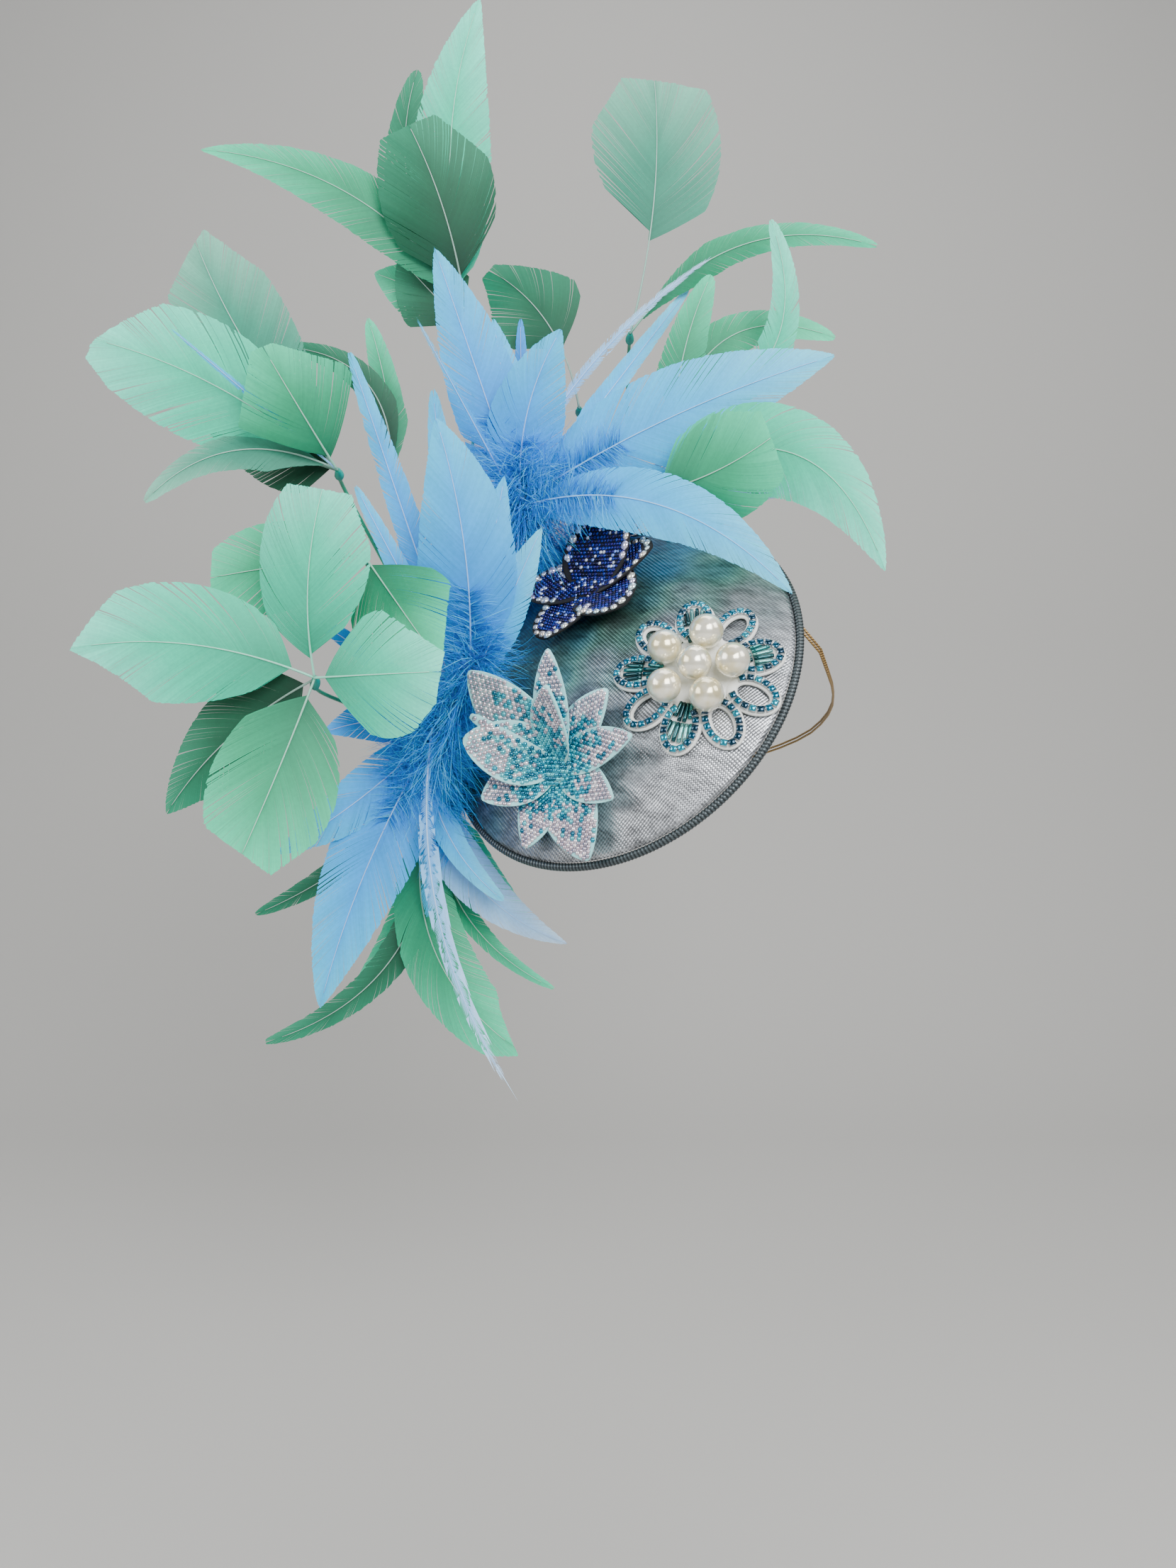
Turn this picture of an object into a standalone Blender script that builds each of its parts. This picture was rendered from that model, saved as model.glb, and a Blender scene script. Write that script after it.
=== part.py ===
"""A feathered saucer fascinator, modelled at its worn size and place.

The base is a shallow cloth-covered saucer that is worn askew. The origin is the middle of its
hollow underside, +Z is up and -Y is the front. Feathers fan out of two blue plumes and ten green
sprays that are fixed to the base, three beaded flowers lie on the saucer, and a doubled elastic
runs from edge to edge behind it.
"""

import math
from collections import namedtuple

import bmesh
import bpy
import numpy as np
from mathutils import Matrix, Vector

MM = 0.001

# Saucer: radius and rise of its hollow underside, wall, and the bound edge round it
BASE_RADIUS = 78.2 * MM
BASE_RISE = 22.0 * MM
BASE_WALL = 2.2 * MM
EDGE_RADIUS = 1.6 * MM
FIT_GAP = 0.3 * MM
ROUND_STEPS = 36
RISE_STEPS = 4

# Where the worn saucer faces, in degrees: turned to the left of the front, tipped up
BASE_TURN = 37.0
BASE_TIP_UP = 31.0

# Feathers: full length and width of a vane of each colour, its thickness at the quill, and how
# far its edges bend back, as a share of half the width
GREEN_LENGTH = 100.0 * MM
GREEN_WIDTH = 48.0 * MM
BLUE_LENGTH = 125.0 * MM
BLUE_WIDTH = 40.0 * MM
QUILL_THICKNESS = 1.6 * MM
VANE_CUP = 0.12

# Wired stems: they leave the base outwards and reach the hub from behind, by shares of their run
STEM_RADIUS = 0.9 * MM
STEM_POINTS = 8
STEM_OUT = 0.18
STEM_BEHIND = 0.26
STEM_BELOW = 0.08
BINDING_RADIUS = 3.0 * MM
BLUE_HEAD_RADIUS = 8.0 * MM
CROWN_RADIUS = 8.0 * MM
HEAD_TAPER = 0.85

# Beaded flowers
PETAL_THICKNESS = 1.5 * MM
PETAL_EDGE = 0.7
PETAL_NECK = 0.22
NAVY_SPAN = 31.0 * MM
NAVY_BOSS_RADIUS = 8.0 * MM
NAVY_BOSS_HEIGHT = 5.0 * MM
LOTUS_SPAN = 40.0 * MM
LOTUS_BOSS_RADIUS = 9.0 * MM
LOTUS_BOSS_HEIGHT = 6.0 * MM
LACE_SPAN = 34.0 * MM
LACE_THICKNESS = 2.2 * MM
LACE_EDGE = 0.6
LACE_BOSS_RADIUS = 15.0 * MM
LACE_BOSS_SHARE = 0.9
LACE_LOBES = 9
FIRST_LOBE_ANGLE = -11.0
LACE_LOBE_WIDTH = 16.0 * MM
LACE_LOBE_OVERLAP = 0.2
LACE_BORDER_WIDTH = 3.2 * MM
LOBE_STEPS = 12
LOBE_SIDES = 5
PEARL_RADIUS = 6.5 * MM
PEARLS_ROUND = 5
FIRST_PEARL_ANGLE = 88.0

# Elastic: two strands side by side, and the route of their middle line in millimetres
ELASTIC_RADIUS = 0.5 * MM
ELASTIC_SPACING = 1.5 * MM
ELASTIC_POINTS = 26
ELASTIC_ROUTE = (
    (81.5, -18.5, 10.9),
    (90.0, -11.0, 3.0),
    (96.0, 2.0, -6.0),
    (102.5, 24.0, -13.0),
    (106.0, 52.0, -22.0),
    (101.0, 86.0, -33.0),
    (80.0, 120.0, -44.0),
    (44.0, 136.0, -51.0),
    (4.0, 130.0, -52.0),
    (-32.0, 106.0, -46.0),
    (-54.0, 78.0, -38.0),
    (-56.9, 54.8, -30.3),
)

# A spray's hub holds shares of the outer base radius to the right, away and up. Its foot is at an
# angle counted from the right-hand end of the level diameter: on the bound edge where reach is 1,
# and else on the cloth at that share of the base radius. Crown is where a plume's down
# starts and ends by the hub, in the hub's shares.
Spray = namedtuple("Spray", "name colour hub angle reach crown")
SPRAYS = (
    Spray("blue_plume_top", "blue", (-0.35, 0.49, 0.84), 146, 1.0, ((0.00, 0.01, -0.10), (0.03, 0.08, 0.25))),
    Spray("blue_plume_low", "blue", (-0.76, 0.19, -0.34), 206, 1.0, ((-0.10, 0.08, -0.38), (0.21, -0.08, 0.37))),
    Spray("green_spray_left_low", "green", (-1.30, -0.12, -0.09), 193, 1.0, None),
    Spray("green_spray_left_mid", "green", (-1.09, 0.02, 0.51), 184, 1.0, None),
    Spray("green_spray_left_high", "green", (-1.24, 0.18, 0.94), 174, 1.0, None),
    Spray("green_spray_inner", "green", (-1.04, 0.58, 1.00), 166, 1.0, None),
    Spray("green_spray_top", "green", (-0.67, 0.79, 1.96), 156, 1.0, None),
    Spray("green_leaf_single", "green", (-0.05, 0.76, 1.38), 124, 1.0, None),
    Spray("green_spray_tall", "green", (0.23, 0.91, 1.82), 108, 1.0, None),
    Spray("green_spray_right_back", "green", (0.46, 0.73, 1.29), 90, 1.0, None),
    Spray("green_spray_right_front", "green", (0.27, 0.20, 0.82), 87, 0.9, None),
    Spray("green_spray_bottom", "green", (-0.82, 0.44, -0.66), 224, 1.0, None),
)

# Feather rows: length and width are shares of the colour's full vane. Heading counts clockwise
# from straight up as seen from the front, lean is towards the front, and both are in degrees.
# Bow is the sideways curve and arch the curve towards the front, as shares of the length. Roll
# turns the face about the quill and twist turns it further towards the tip. Root moves the start
# by millimetres to the right, away and up from the hub.
Feather = namedtuple("Feather", "kind length width heading lean bow arch roll twist root")
FEATHERS = {
    "blue_plume_top": (
        Feather("lance", 0.87, 0.75, 341, 3, 0.00, 0.03, 0, 0, (0, 0, 0)),
        Feather("lance", 0.68, 0.60, 351, -11, 0.00, 0.02, 0, 0, (0, 4, 0)),
        Feather("lance", 0.56, 0.80, 15, 14, -0.08, 0.02, 0, 0, (0, -3, 0)),
        Feather("blade", 0.66, 0.25, 359, -15, 0.00, 0.00, 0, 0, (0, 3, 4)),
        Feather("blade", 0.64, 0.10, 331, 13, 0.00, 0.03, 0, 0, (-3, -3, 1)),
        Feather("blade", 0.98, 0.14, 42, -4, -0.06, 0.00, 0, 0, (0, 0, 14)),
        Feather("blade", 0.98, 0.30, 36, -14, 0.00, 0.00, 0, 0, (4, 5, 4)),
        Feather("lance", 1.13, 1.02, 67, 9, -0.03, 0.04, 0, 0, (0, 0, 0)),
        Feather("blade", 1.10, 0.10, 79, -1, 0.00, 0.00, 0, 0, (0, 2, 0)),
        Feather("lance", 1.00, 0.56, 88, -2, 0.00, 0.02, 0, 0, (0, 3, 3)),
        Feather("lance", 1.00, 0.66, 111, 24, -0.13, 0.05, 0, 0, (0, -4, -3)),
    ),
    "blue_plume_low": (
        Feather("blade", 1.15, 0.38, 341, -5, 0.00, 0.02, 0, 0, (10, 0, 20)),
        Feather("blade", 1.03, 0.45, 353, -13, 0.00, 0.02, 0, 0, (11, 0, 20)),
        Feather("blade", 0.74, 0.32, 332, -4, 0.00, 0.02, 0, 0, (10, -1, 18)),
        Feather("lance", 0.80, 0.98, 354, 11, 0.05, 0.05, 0, 0, (14, -6, 22)),
        Feather("lance", 0.66, 0.50, 10, 0, 0.00, 0.02, 0, 0, (14, -2, 21)),
        Feather("lance", 0.55, 0.44, 25, 8, 0.00, 0.02, 0, 0, (15, -6, 18)),
        Feather("lance", 0.36, 0.46, 266, 26, 0.07, 0.02, 0, 0, (-2, 0, 2)),
        Feather("blade", 0.34, 0.32, 293, 10, 0.00, 0.02, 0, 0, (-2, -1, 4)),
        Feather("blade", 0.55, 0.30, 310, 4, 0.05, 0.02, 0, 0, (-1, 1, 3)),
        Feather("lance", 0.66, 0.55, 232, 8, -0.04, 0.03, 0, 0, (0, 0, 0)),
        Feather("lance", 1.00, 0.88, 203, 4, 0.03, 0.06, 0, 0, (0, 2, 0)),
        Feather("blade", 0.64, 0.38, 184, -3, 0.00, 0.02, 0, 0, (0, 3, 0)),
        Feather("blade", 1.15, 0.22, 167, 14, 0.09, 0.00, 0, 0, (-1, -7, 1)),
        Feather("blade", 0.50, 0.36, 150, 4, 0.10, 0.02, 0, 0, (-4, 2, -17)),
        Feather("lance", 0.76, 0.52, 142, -8, 0.14, 0.02, 0, 0, (-5, 4, -19)),
    ),
    "green_spray_left_low": (
        Feather("pad", 0.97, 0.96, 276, 4, 0.08, 0.05, 0, 0, (0, 0, 0)),
        Feather("pad", 0.82, 0.96, 8, 12, -0.05, 0.06, -15, 0, (0, 0, 0)),
        Feather("pad", 0.62, 1.00, 88, 26, 0.00, 0.04, 0, 0, (0, -1, 0)),
        Feather("pad", 0.84, 1.02, 200, 16, -0.02, 0.05, 0, 0, (0, 0, 0)),
        Feather("lance", 0.86, 0.70, 230, -9, 0.06, 0.02, 0, 0, (0, 3, 0)),
    ),
    "green_spray_left_mid": (
        Feather("pad", 0.69, 0.75, 262, -6, 0.00, 0.04, 0, 0, (0, 0, 0)),
        Feather("pad", 0.60, 0.88, 143, 24, 0.00, 0.03, 0, 0, (0, 0, 0)),
    ),
    "green_spray_left_high": (
        Feather("pad", 1.40, 0.96, 328, -16, -0.04, 0.03, 15, 0, (0, 0, 0)),
        Feather("pad", 1.22, 1.00, 297, -3, 0.06, 0.05, 0, 0, (0, 0, 0)),
        Feather("pad", 0.54, 1.02, 331, 22, 0.00, 0.05, 0, 0, (0, -2, 0)),
        Feather("blade", 0.78, 0.45, 260, 4, 0.17, 0.04, 20, 0, (0, 0, 0)),
        Feather("lance", 0.68, 0.62, 290, -20, 0.00, 0.00, 0, 0, (0, 2, 0)),
        Feather("blade", 0.80, 0.07, 310, 12, 0.00, 0.00, 0, 0, (0, -2, 0)),
    ),
    "green_spray_inner": (
        Feather("blade", 0.70, 0.36, 350, -8, 0.04, 0.02, 0, 0, (1, 0, 0)),
        Feather("blade", 0.72, 0.34, 318, 0, 0.25, 0.02, 0, 0, (0, 0, 0)),
    ),
    "green_spray_top": (
        Feather("lance", 1.32, 0.74, 3, -3, -0.07, 0.02, 0, 0, (0, 0, 0)),
        Feather("pad", 0.80, 1.05, 341, 13, 0.05, 0.06, 0, 0, (0, -1, 0)),
        Feather("blade", 1.22, 0.62, 348, -15, -0.12, 0.00, 0, 0, (0, 2, 0)),
        Feather("lance", 1.27, 0.54, 298, 5, 0.11, 0.03, 0, 15, (0, 0, 0)),
        Feather("lance", 0.46, 0.72, 318, -10, 0.00, 0.02, 0, 0, (0, 1, -12)),
        Feather("lance", 0.50, 0.58, 296, -18, 0.00, 0.02, 0, 0, (0, 2, -3)),
    ),
    "green_leaf_single": (
        Feather("fan", 0.84, 0.92, 327, -14, 0.11, 0.04, 0, 0, (0, 0, 0)),
    ),
    "green_spray_tall": (
        Feather("fan", 1.28, 1.20, 4, -3, 0.05, 0.05, 0, 0, (0, 0, 0)),
        Feather("blade", 1.13, 0.34, 73, 8, -0.17, 0.02, 10, 0, (0, 0, 0)),
    ),
    "green_spray_right_back": (
        Feather("blade", 0.88, 0.50, 60, -12, -0.25, 0.02, 0, 0, (0, 1, 0)),
        Feather("blade", 0.92, 0.42, 26, 9, 0.27, 0.02, 0, 0, (0, 0, 0)),
        Feather("blade", 0.66, 0.50, 14, 0, -0.05, 0.02, 0, 0, (0, 0, 0)),
        Feather("blade", 0.60, 0.50, 30, -24, 0.00, 0.02, 0, 0, (0, 2, 0)),
    ),
    "green_spray_right_front": (
        Feather("pad", 0.64, 0.86, 67, 20, 0.07, 0.04, 0, 0, (0, 0, 0)),
        Feather("lance", 1.02, 0.76, 108, 6, -0.32, 0.03, 0, 10, (0, 0, 0)),
    ),
    "green_spray_bottom": (
        Feather("blade", 0.75, 0.30, 145, 0, 0.03, 0.00, 0, 0, (1, 0, 0)),
        Feather("blade", 1.02, 0.26, 150, -4, 0.16, 0.00, 0, 0, (1, 0, -1)),
        Feather("pad", 1.28, 0.62, 158, 5, 0.19, 0.03, 0, 0, (0, 0, 0)),
        Feather("blade", 1.38, 0.40, 214, -4, -0.19, 0.03, 10, 0, (0, 0, 0)),
        Feather("blade", 1.06, 0.38, 203, -14, -0.08, 0.00, 0, 0, (0, 2, 0)),
        Feather("blade", 1.05, 0.32, 235, -12, -0.05, 0.02, 0, 0, (0, 2, 0)),
    ),
}

# Petal rows: length and width are shares of the flower's span, heading counts clockwise from the
# saucer's upper side, rise is the petal's slope off the cloth and both are in degrees. Cup lifts
# its sides and curl its tip, as shares of the width and the length.
Petal = namedtuple("Petal", "length width heading rise cup curl")
NAVY_PETALS = (
    Petal(0.76, 0.95, 10, 32, 0.22, 0.10),
    Petal(0.95, 0.72, 68, 16, 0.18, 0.04),
    Petal(0.90, 0.80, 128, 10, 0.15, 0.02),
    Petal(1.00, 0.80, 200, 8, 0.15, 0.02),
    Petal(1.05, 0.72, 275, 12, 0.18, 0.04),
)
LOTUS_PETALS = (
    Petal(1.00, 0.62, 315, 40, 0.08, 0.00),
    Petal(0.98, 0.40, 355, 24, 0.10, 0.02),
    Petal(0.86, 0.46, 36, 14, 0.10, 0.00),
    Petal(0.92, 0.40, 74, 18, 0.10, 0.02),
    Petal(0.80, 0.40, 112, 14, 0.08, 0.00),
    Petal(1.02, 0.62, 150, 8, 0.06, 0.00),
    Petal(0.86, 0.50, 196, 8, 0.06, 0.00),
    Petal(0.74, 0.50, 238, 24, 0.10, 0.02),
    Petal(0.66, 0.60, 278, 46, 0.20, 0.06),
    Petal(0.56, 0.46, 20, 50, 0.16, 0.05),
)

# Places of the three flowers on the saucer, as shares of the base radius, right and up
NAVY_PLACE = (-0.15, 0.44)
LOTUS_PLACE = (0.02, -0.57)
LACE_PLACE = (0.62, -0.05)

# Vane outlines: stations along the quill, and the share of the width in words below
STATIONS = {
    "pad": (0.0, 0.08, 0.17, 0.34, 0.56, 0.76, 0.92),
    "fan": (0.0, 0.30, 0.38, 0.50, 0.66, 0.82, 0.94),
    "lance": (0.0, 0.09, 0.26, 0.50, 0.76),
    "blade": (0.0, 0.12, 0.32, 0.58, 0.82),
}
BARE_QUILL = {"pad": 0.09, "fan": 0.31, "lance": 0.06, "blade": 0.06}
ACROSS = {"pad": 5, "fan": 5, "lance": 4, "blade": 3}


def vane_width(kind, along):
    """Share of the full width: a bare quill, then a round pad, the same on a long stem, a lance or a narrow blade."""
    bare = BARE_QUILL[kind]
    u = np.clip((along - bare) / (1.0 - bare), 0.0, 1.0)
    if kind in ("pad", "fan"):
        return np.sin(np.pi * u**0.80) ** 0.55
    if kind == "lance":
        return np.sin(np.pi * u**0.72) ** 0.80
    return np.minimum(1.0, 3.2 * u) * (1.0 - u) ** 0.45


def unit(vectors):
    """Rows scaled to length one."""
    return vectors / np.linalg.norm(vectors, axis=-1, keepdims=True)


def loft_blade(spine, face, width, across, middle, edge, cup, turn):
    """A closed thin blade: lens sections of the given widths along a spine, with a pointed tip.

    face points out of the blade's front, cup bends the sides back and turn rolls each section.
    """
    tangent = unit(np.gradient(spine, axis=0))
    front = unit(face - (tangent @ face)[:, None] * tangent)
    side = np.cross(tangent, front)
    roll = np.radians(turn)[:, None]
    front, side = (
        front * np.cos(roll) + side * np.sin(roll),
        side * np.cos(roll) - front * np.sin(roll),
    )
    u = np.linspace(-1.0, 1.0, across)
    half = width[:, None, None] / 2.0
    thick = (edge + (middle - edge) * (1.0 - u**2))[None, :, None] / 2.0
    flat = spine[:, None] + side[:, None] * u[None, :, None] * half
    flat = flat - front[:, None] * (cup * half * (u**2)[None, :, None])
    upper = flat + front[:, None] * thick
    lower = flat - front[:, None] * thick
    last = across if edge > 0.0 else across - 1
    first = 0 if edge > 0.0 else 1
    rings = np.concatenate([upper[:-1], lower[:-1, first:last][:, ::-1]], axis=1)
    count, size = rings.shape[:2]
    verts = np.concatenate([rings.reshape(-1, 3), spine[-1:]])
    tip = count * size
    faces = [tuple(range(size))]
    for i in range(count - 1):
        for j in range(size):
            k = (j + 1) % size
            faces.append((i * size + j, i * size + k, (i + 1) * size + k, (i + 1) * size + j))
    for j in range(size):
        faces.append(((count - 1) * size + j, (count - 1) * size + (j + 1) % size, tip))
    return verts, faces


def new_material(name, colour, roughness, metallic=0.0):
    """A Principled material of one colour."""
    material = bpy.data.materials.new(name)
    material.use_nodes = True
    shader = material.node_tree.nodes["Principled BSDF"]
    shader.inputs["Base Color"].default_value = (*colour, 1.0)
    shader.inputs["Roughness"].default_value = roughness
    shader.inputs["Metallic"].default_value = metallic
    material.diffuse_color = (*colour, 1.0)
    return material


def new_object(name, mesh, material, collection):
    """A smooth-shaded object with sharp creases kept."""
    item = bpy.data.objects.new(name, mesh)
    collection.objects.link(item)
    mesh.materials.clear()
    mesh.materials.append(material)
    mesh.shade_smooth()
    mesh.set_sharp_from_angle(angle=math.radians(40))
    return item


def mesh_from(name, verts, faces):
    """A mesh with its faces turned outwards."""
    mesh = bpy.data.meshes.new(name)
    mesh.from_pydata([tuple(v) for v in verts], [], faces)
    shape = bmesh.new()
    shape.from_mesh(mesh)
    bmesh.ops.recalc_face_normals(shape, faces=shape.faces)
    shape.to_mesh(mesh)
    shape.free()
    return mesh


def as_cutter(item):
    """Mark a helper body that only shapes another object."""
    item.hide_render = True
    item.display_type = "WIRE"
    return item


def join_with(item, helpers):
    """Fuse every body of a collection to an object."""
    union = item.modifiers.new("Fuse", "BOOLEAN")
    union.operation = "UNION"
    union.operand_type = "COLLECTION"
    union.collection = helpers
    union.solver = "EXACT"


def smooth_path(points, count):
    """Points evenly spread along a smooth curve through the given ones (Catmull-Rom)."""
    pts = np.array(points, dtype=float)
    ends = np.concatenate([2 * pts[:1] - pts[1:2], pts, 2 * pts[-1:] - pts[-2:-1]])
    t = np.linspace(0.0, 1.0, 24, endpoint=False)[:, None]
    runs = []
    for a, b, c, d in zip(ends[:-3], ends[1:-2], ends[2:-1], ends[3:]):
        runs.append(
            0.5 * (2 * b + (c - a) * t + (2 * a - 5 * b + 4 * c - d) * t**2 + (3 * b - a - 3 * c + d) * t**3)
        )
    dense = np.concatenate(runs + [pts[-1:]])
    reach = np.concatenate([[0.0], np.cumsum(np.linalg.norm(np.diff(dense, axis=0), axis=1))])
    marks = np.linspace(0.0, reach[-1], count)
    return np.stack([np.interp(marks, reach, dense[:, k]) for k in range(3)], axis=1)


def tube_curve(name, points, radius, sides, material, collection):
    """A round wire along a path, as a curve with filled ends; sides sets how finely it is cut."""
    data = bpy.data.curves.new(name, "CURVE")
    data.dimensions = "3D"
    data.bevel_depth = radius
    data.bevel_resolution = sides
    data.use_fill_caps = True
    spline = data.splines.new("POLY")
    spline.points.add(len(points) - 1)
    for slot, place in zip(spline.points, points):
        slot.co = (*place, 1.0)
    data.materials.append(material)
    item = bpy.data.objects.new(name, data)
    collection.objects.link(item)
    return item


def curve_to_mesh(item, material, collection):
    """The curve as a closed mesh object in the given collection, which takes its place."""
    bpy.context.view_layer.update()
    graph = bpy.context.evaluated_depsgraph_get()
    mesh = bpy.data.meshes.new_from_object(item.evaluated_get(graph))
    shape = bmesh.new()
    shape.from_mesh(mesh)
    bmesh.ops.remove_doubles(shape, verts=shape.verts, dist=0.00001)
    bmesh.ops.recalc_face_normals(shape, faces=shape.faces)
    shape.to_mesh(mesh)
    shape.free()
    name = item.name
    place = item.matrix_world.copy()
    bpy.data.objects.remove(item)
    made = new_object(name, mesh, material, collection)
    made.matrix_world = place
    return made


# The saucer's own axes: right along its level diameter, up its slope, and out of its top
SPHERE_RADIUS = (BASE_RADIUS**2 + BASE_RISE**2) / (2.0 * BASE_RISE)
SLOPE_AT_EDGE = math.asin(BASE_RADIUS / SPHERE_RADIUS)
TURN = math.radians(BASE_TURN)
TIP_UP = math.radians(BASE_TIP_UP)
AXIS_RIGHT = np.array([math.cos(TURN), -math.sin(TURN), 0.0])
AXIS_UP = np.array([math.sin(TIP_UP) * math.sin(TURN), math.sin(TIP_UP) * math.cos(TURN), math.cos(TIP_UP)])
AXIS_OUT = np.array([-math.cos(TIP_UP) * math.sin(TURN), -math.cos(TIP_UP) * math.cos(TURN), math.sin(TIP_UP)])
BASE_AXES = np.stack([AXIS_RIGHT, AXIS_UP, AXIS_OUT], axis=1)
EDGE_OFFSET = BASE_WALL / 2.0
EDGE_RING_RADIUS = (
    BASE_RADIUS
    + EDGE_OFFSET * math.sin(SLOPE_AT_EDGE)
    + (FIT_GAP + EDGE_RADIUS) * math.cos(SLOPE_AT_EDGE)
)
EDGE_RING_HEIGHT = (
    -BASE_RISE
    + EDGE_OFFSET * math.cos(SLOPE_AT_EDGE)
    - (FIT_GAP + EDGE_RADIUS) * math.sin(SLOPE_AT_EDGE)
)
OUTER_RADIUS = EDGE_RING_RADIUS + EDGE_RADIUS


def on_cloth(angle, share):
    """A place just off the saucer's cloth, and the way straight out of it."""
    turn = math.radians(angle)
    slope = math.asin(share * BASE_RADIUS / SPHERE_RADIUS)
    out = np.array([math.sin(slope) * math.cos(turn), math.sin(slope) * math.sin(turn), math.cos(slope)])
    centre = np.array([0.0, 0.0, -SPHERE_RADIUS])
    return BASE_AXES @ (centre + out * (SPHERE_RADIUS + BASE_WALL + FIT_GAP)), BASE_AXES @ out


def on_edge(angle, outwards, upwards):
    """A place by the bound edge, in the object's frame, offset from the middle of its binding."""
    turn = math.radians(angle)
    reach = EDGE_RING_RADIUS + outwards
    local = np.array([reach * math.cos(turn), reach * math.sin(turn), EDGE_RING_HEIGHT + upwards])
    return BASE_AXES @ local


def feather_solid(row, hub, colour):
    """One feather: its spine from hub to tip, then the blade round it."""
    full_length, full_width = {
        "green": (GREEN_LENGTH, GREEN_WIDTH),
        "blue": (BLUE_LENGTH, BLUE_WIDTH),
    }[colour]
    heading, lean = math.radians(row.heading), math.radians(row.lean)
    ahead = np.array(
        [math.sin(heading) * math.cos(lean), -math.sin(lean), math.cos(heading) * math.cos(lean)]
    )
    face = unit(np.array([0.0, -1.0, 0.0]) + ahead[1] * ahead)
    side = np.cross(ahead, face)
    along = np.array(STATIONS[row.kind] + (1.0,))
    hump = 4.0 * along * (1.0 - along)
    bend = np.outer(along, ahead) + np.outer(row.bow * hump, side) + np.outer(row.arch * hump, face)
    spine = hub + np.array(row.root) * MM + bend * full_length * row.length
    width = np.maximum(vane_width(row.kind, along) * full_width * row.width, QUILL_THICKNESS)
    turn = row.roll + row.twist * along
    return loft_blade(spine, face, width, ACROSS[row.kind], QUILL_THICKNESS, 0.0, VANE_CUP, turn)


def make_spray(spray, material, collection):
    """Feathers fused to a head or to a bound stem that ends at the saucer's edge."""
    helpers = bpy.data.collections.new(spray.name + "_parts")
    bpy.context.scene.collection.children.link(helpers)
    hub = np.array(spray.hub) * OUTER_RADIUS
    for number, row in enumerate(FEATHERS[spray.name]):
        name = f"{spray.name}_feather_{number + 1}"
        mesh = mesh_from(name, *feather_solid(row, hub, spray.colour))
        as_cutter(new_object(name, mesh, material, helpers))
    if spray.colour == "blue":
        body = make_plume_head(spray, hub, material, collection, helpers)
    else:
        body = make_bound_stem(spray, hub, material, collection, helpers)
    join_with(body, helpers)
    return body


def make_plume_head(spray, hub, material, collection, helpers):
    """The down at the foot of a plume: a long egg from the top of the bound edge to the hub."""
    off_edge = (EDGE_RADIUS + FIT_GAP) * math.sqrt(0.5)
    foot = on_edge(spray.angle, off_edge, off_edge)
    past_hub = hub + unit(hub - foot) * BLUE_HEAD_RADIUS
    low, high = hub + np.array(spray.crown) * OUTER_RADIUS
    crown = drop_mesh(spray.name + "_crown", low, high, CROWN_RADIUS, 0.0)
    as_cutter(new_object(crown.name, crown, material, helpers))
    head = drop_mesh(spray.name, foot, past_hub, BLUE_HEAD_RADIUS, HEAD_TAPER)
    return new_object(spray.name, head, material, collection)


def drop_mesh(name, start, end, radius, taper):
    """A round body stretched from one point to another, thinner towards its start."""
    bpy.ops.mesh.primitive_uv_sphere_add(segments=12, ring_count=8, radius=1.0)
    made = bpy.context.object
    mesh = made.data
    mesh.name = name
    for vert in mesh.vertices:
        girth = 1.0 - taper * (1.0 - vert.co.z) / 2.0
        vert.co.x *= girth
        vert.co.y *= girth
    line = Vector(end) - Vector(start)
    turn = line.to_track_quat("Z", "Y").to_matrix().to_4x4()
    shape = Matrix.Diagonal((radius, radius, line.length / 2.0, 1.0))
    mesh.transform(Matrix.Translation(Vector(start) + line / 2.0) @ turn @ shape)
    bpy.data.objects.remove(made)
    return mesh


def make_bound_stem(spray, hub, material, collection, helpers):
    """A wired stem from the edge to the hub, with the thread binding round its end."""
    if spray.reach < 1.0:
        foot, outward = on_cloth(spray.angle, spray.reach)
    else:
        foot = on_edge(spray.angle, EDGE_RADIUS + FIT_GAP, 0.0)
        outward = unit(on_edge(spray.angle, 2.0 * EDGE_RADIUS, 0.0) - on_edge(spray.angle, 0.0, 0.0))
    run = np.linalg.norm(hub - foot)
    bend = foot + outward * STEM_OUT * run
    behind = hub + np.array([0.0, STEM_BEHIND, -STEM_BELOW]) * run
    path = smooth_path([foot, bend, behind, hub], STEM_POINTS)
    stem = tube_curve(spray.name, path, STEM_RADIUS, 1, material, collection)
    body = curve_to_mesh(stem, material, collection)
    bpy.ops.mesh.primitive_ico_sphere_add(subdivisions=1, radius=BINDING_RADIUS)
    ball = bpy.context.object
    mesh = ball.data
    mesh.name = spray.name + "_binding"
    mesh.transform(Matrix.Translation(Vector(hub)))
    bpy.data.objects.remove(ball)
    as_cutter(new_object(spray.name + "_binding", mesh, material, helpers))
    return body


def make_base(material, collection):
    """The saucer: an arc from its middle to its edge, turned round and given its wall."""
    angles = np.linspace(0.0, SLOPE_AT_EDGE, RISE_STEPS + 1)
    verts = [
        (SPHERE_RADIUS * math.sin(a), 0.0, SPHERE_RADIUS * (math.cos(a) - 1.0)) for a in angles
    ]
    mesh = bpy.data.meshes.new("base_saucer")
    mesh.from_pydata(verts, [(i, i + 1) for i in range(RISE_STEPS)], [])
    item = bpy.data.objects.new("base_saucer", mesh)
    collection.objects.link(item)
    mesh.materials.append(material)
    turned = item.modifiers.new("Turn", "SCREW")
    turned.steps = ROUND_STEPS
    turned.render_steps = ROUND_STEPS
    turned.use_merge_vertices = True
    turned.merge_threshold = 0.00001
    wall = item.modifiers.new("Wall", "SOLIDIFY")
    wall.thickness = BASE_WALL
    wall.offset = 1.0
    return item


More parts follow.
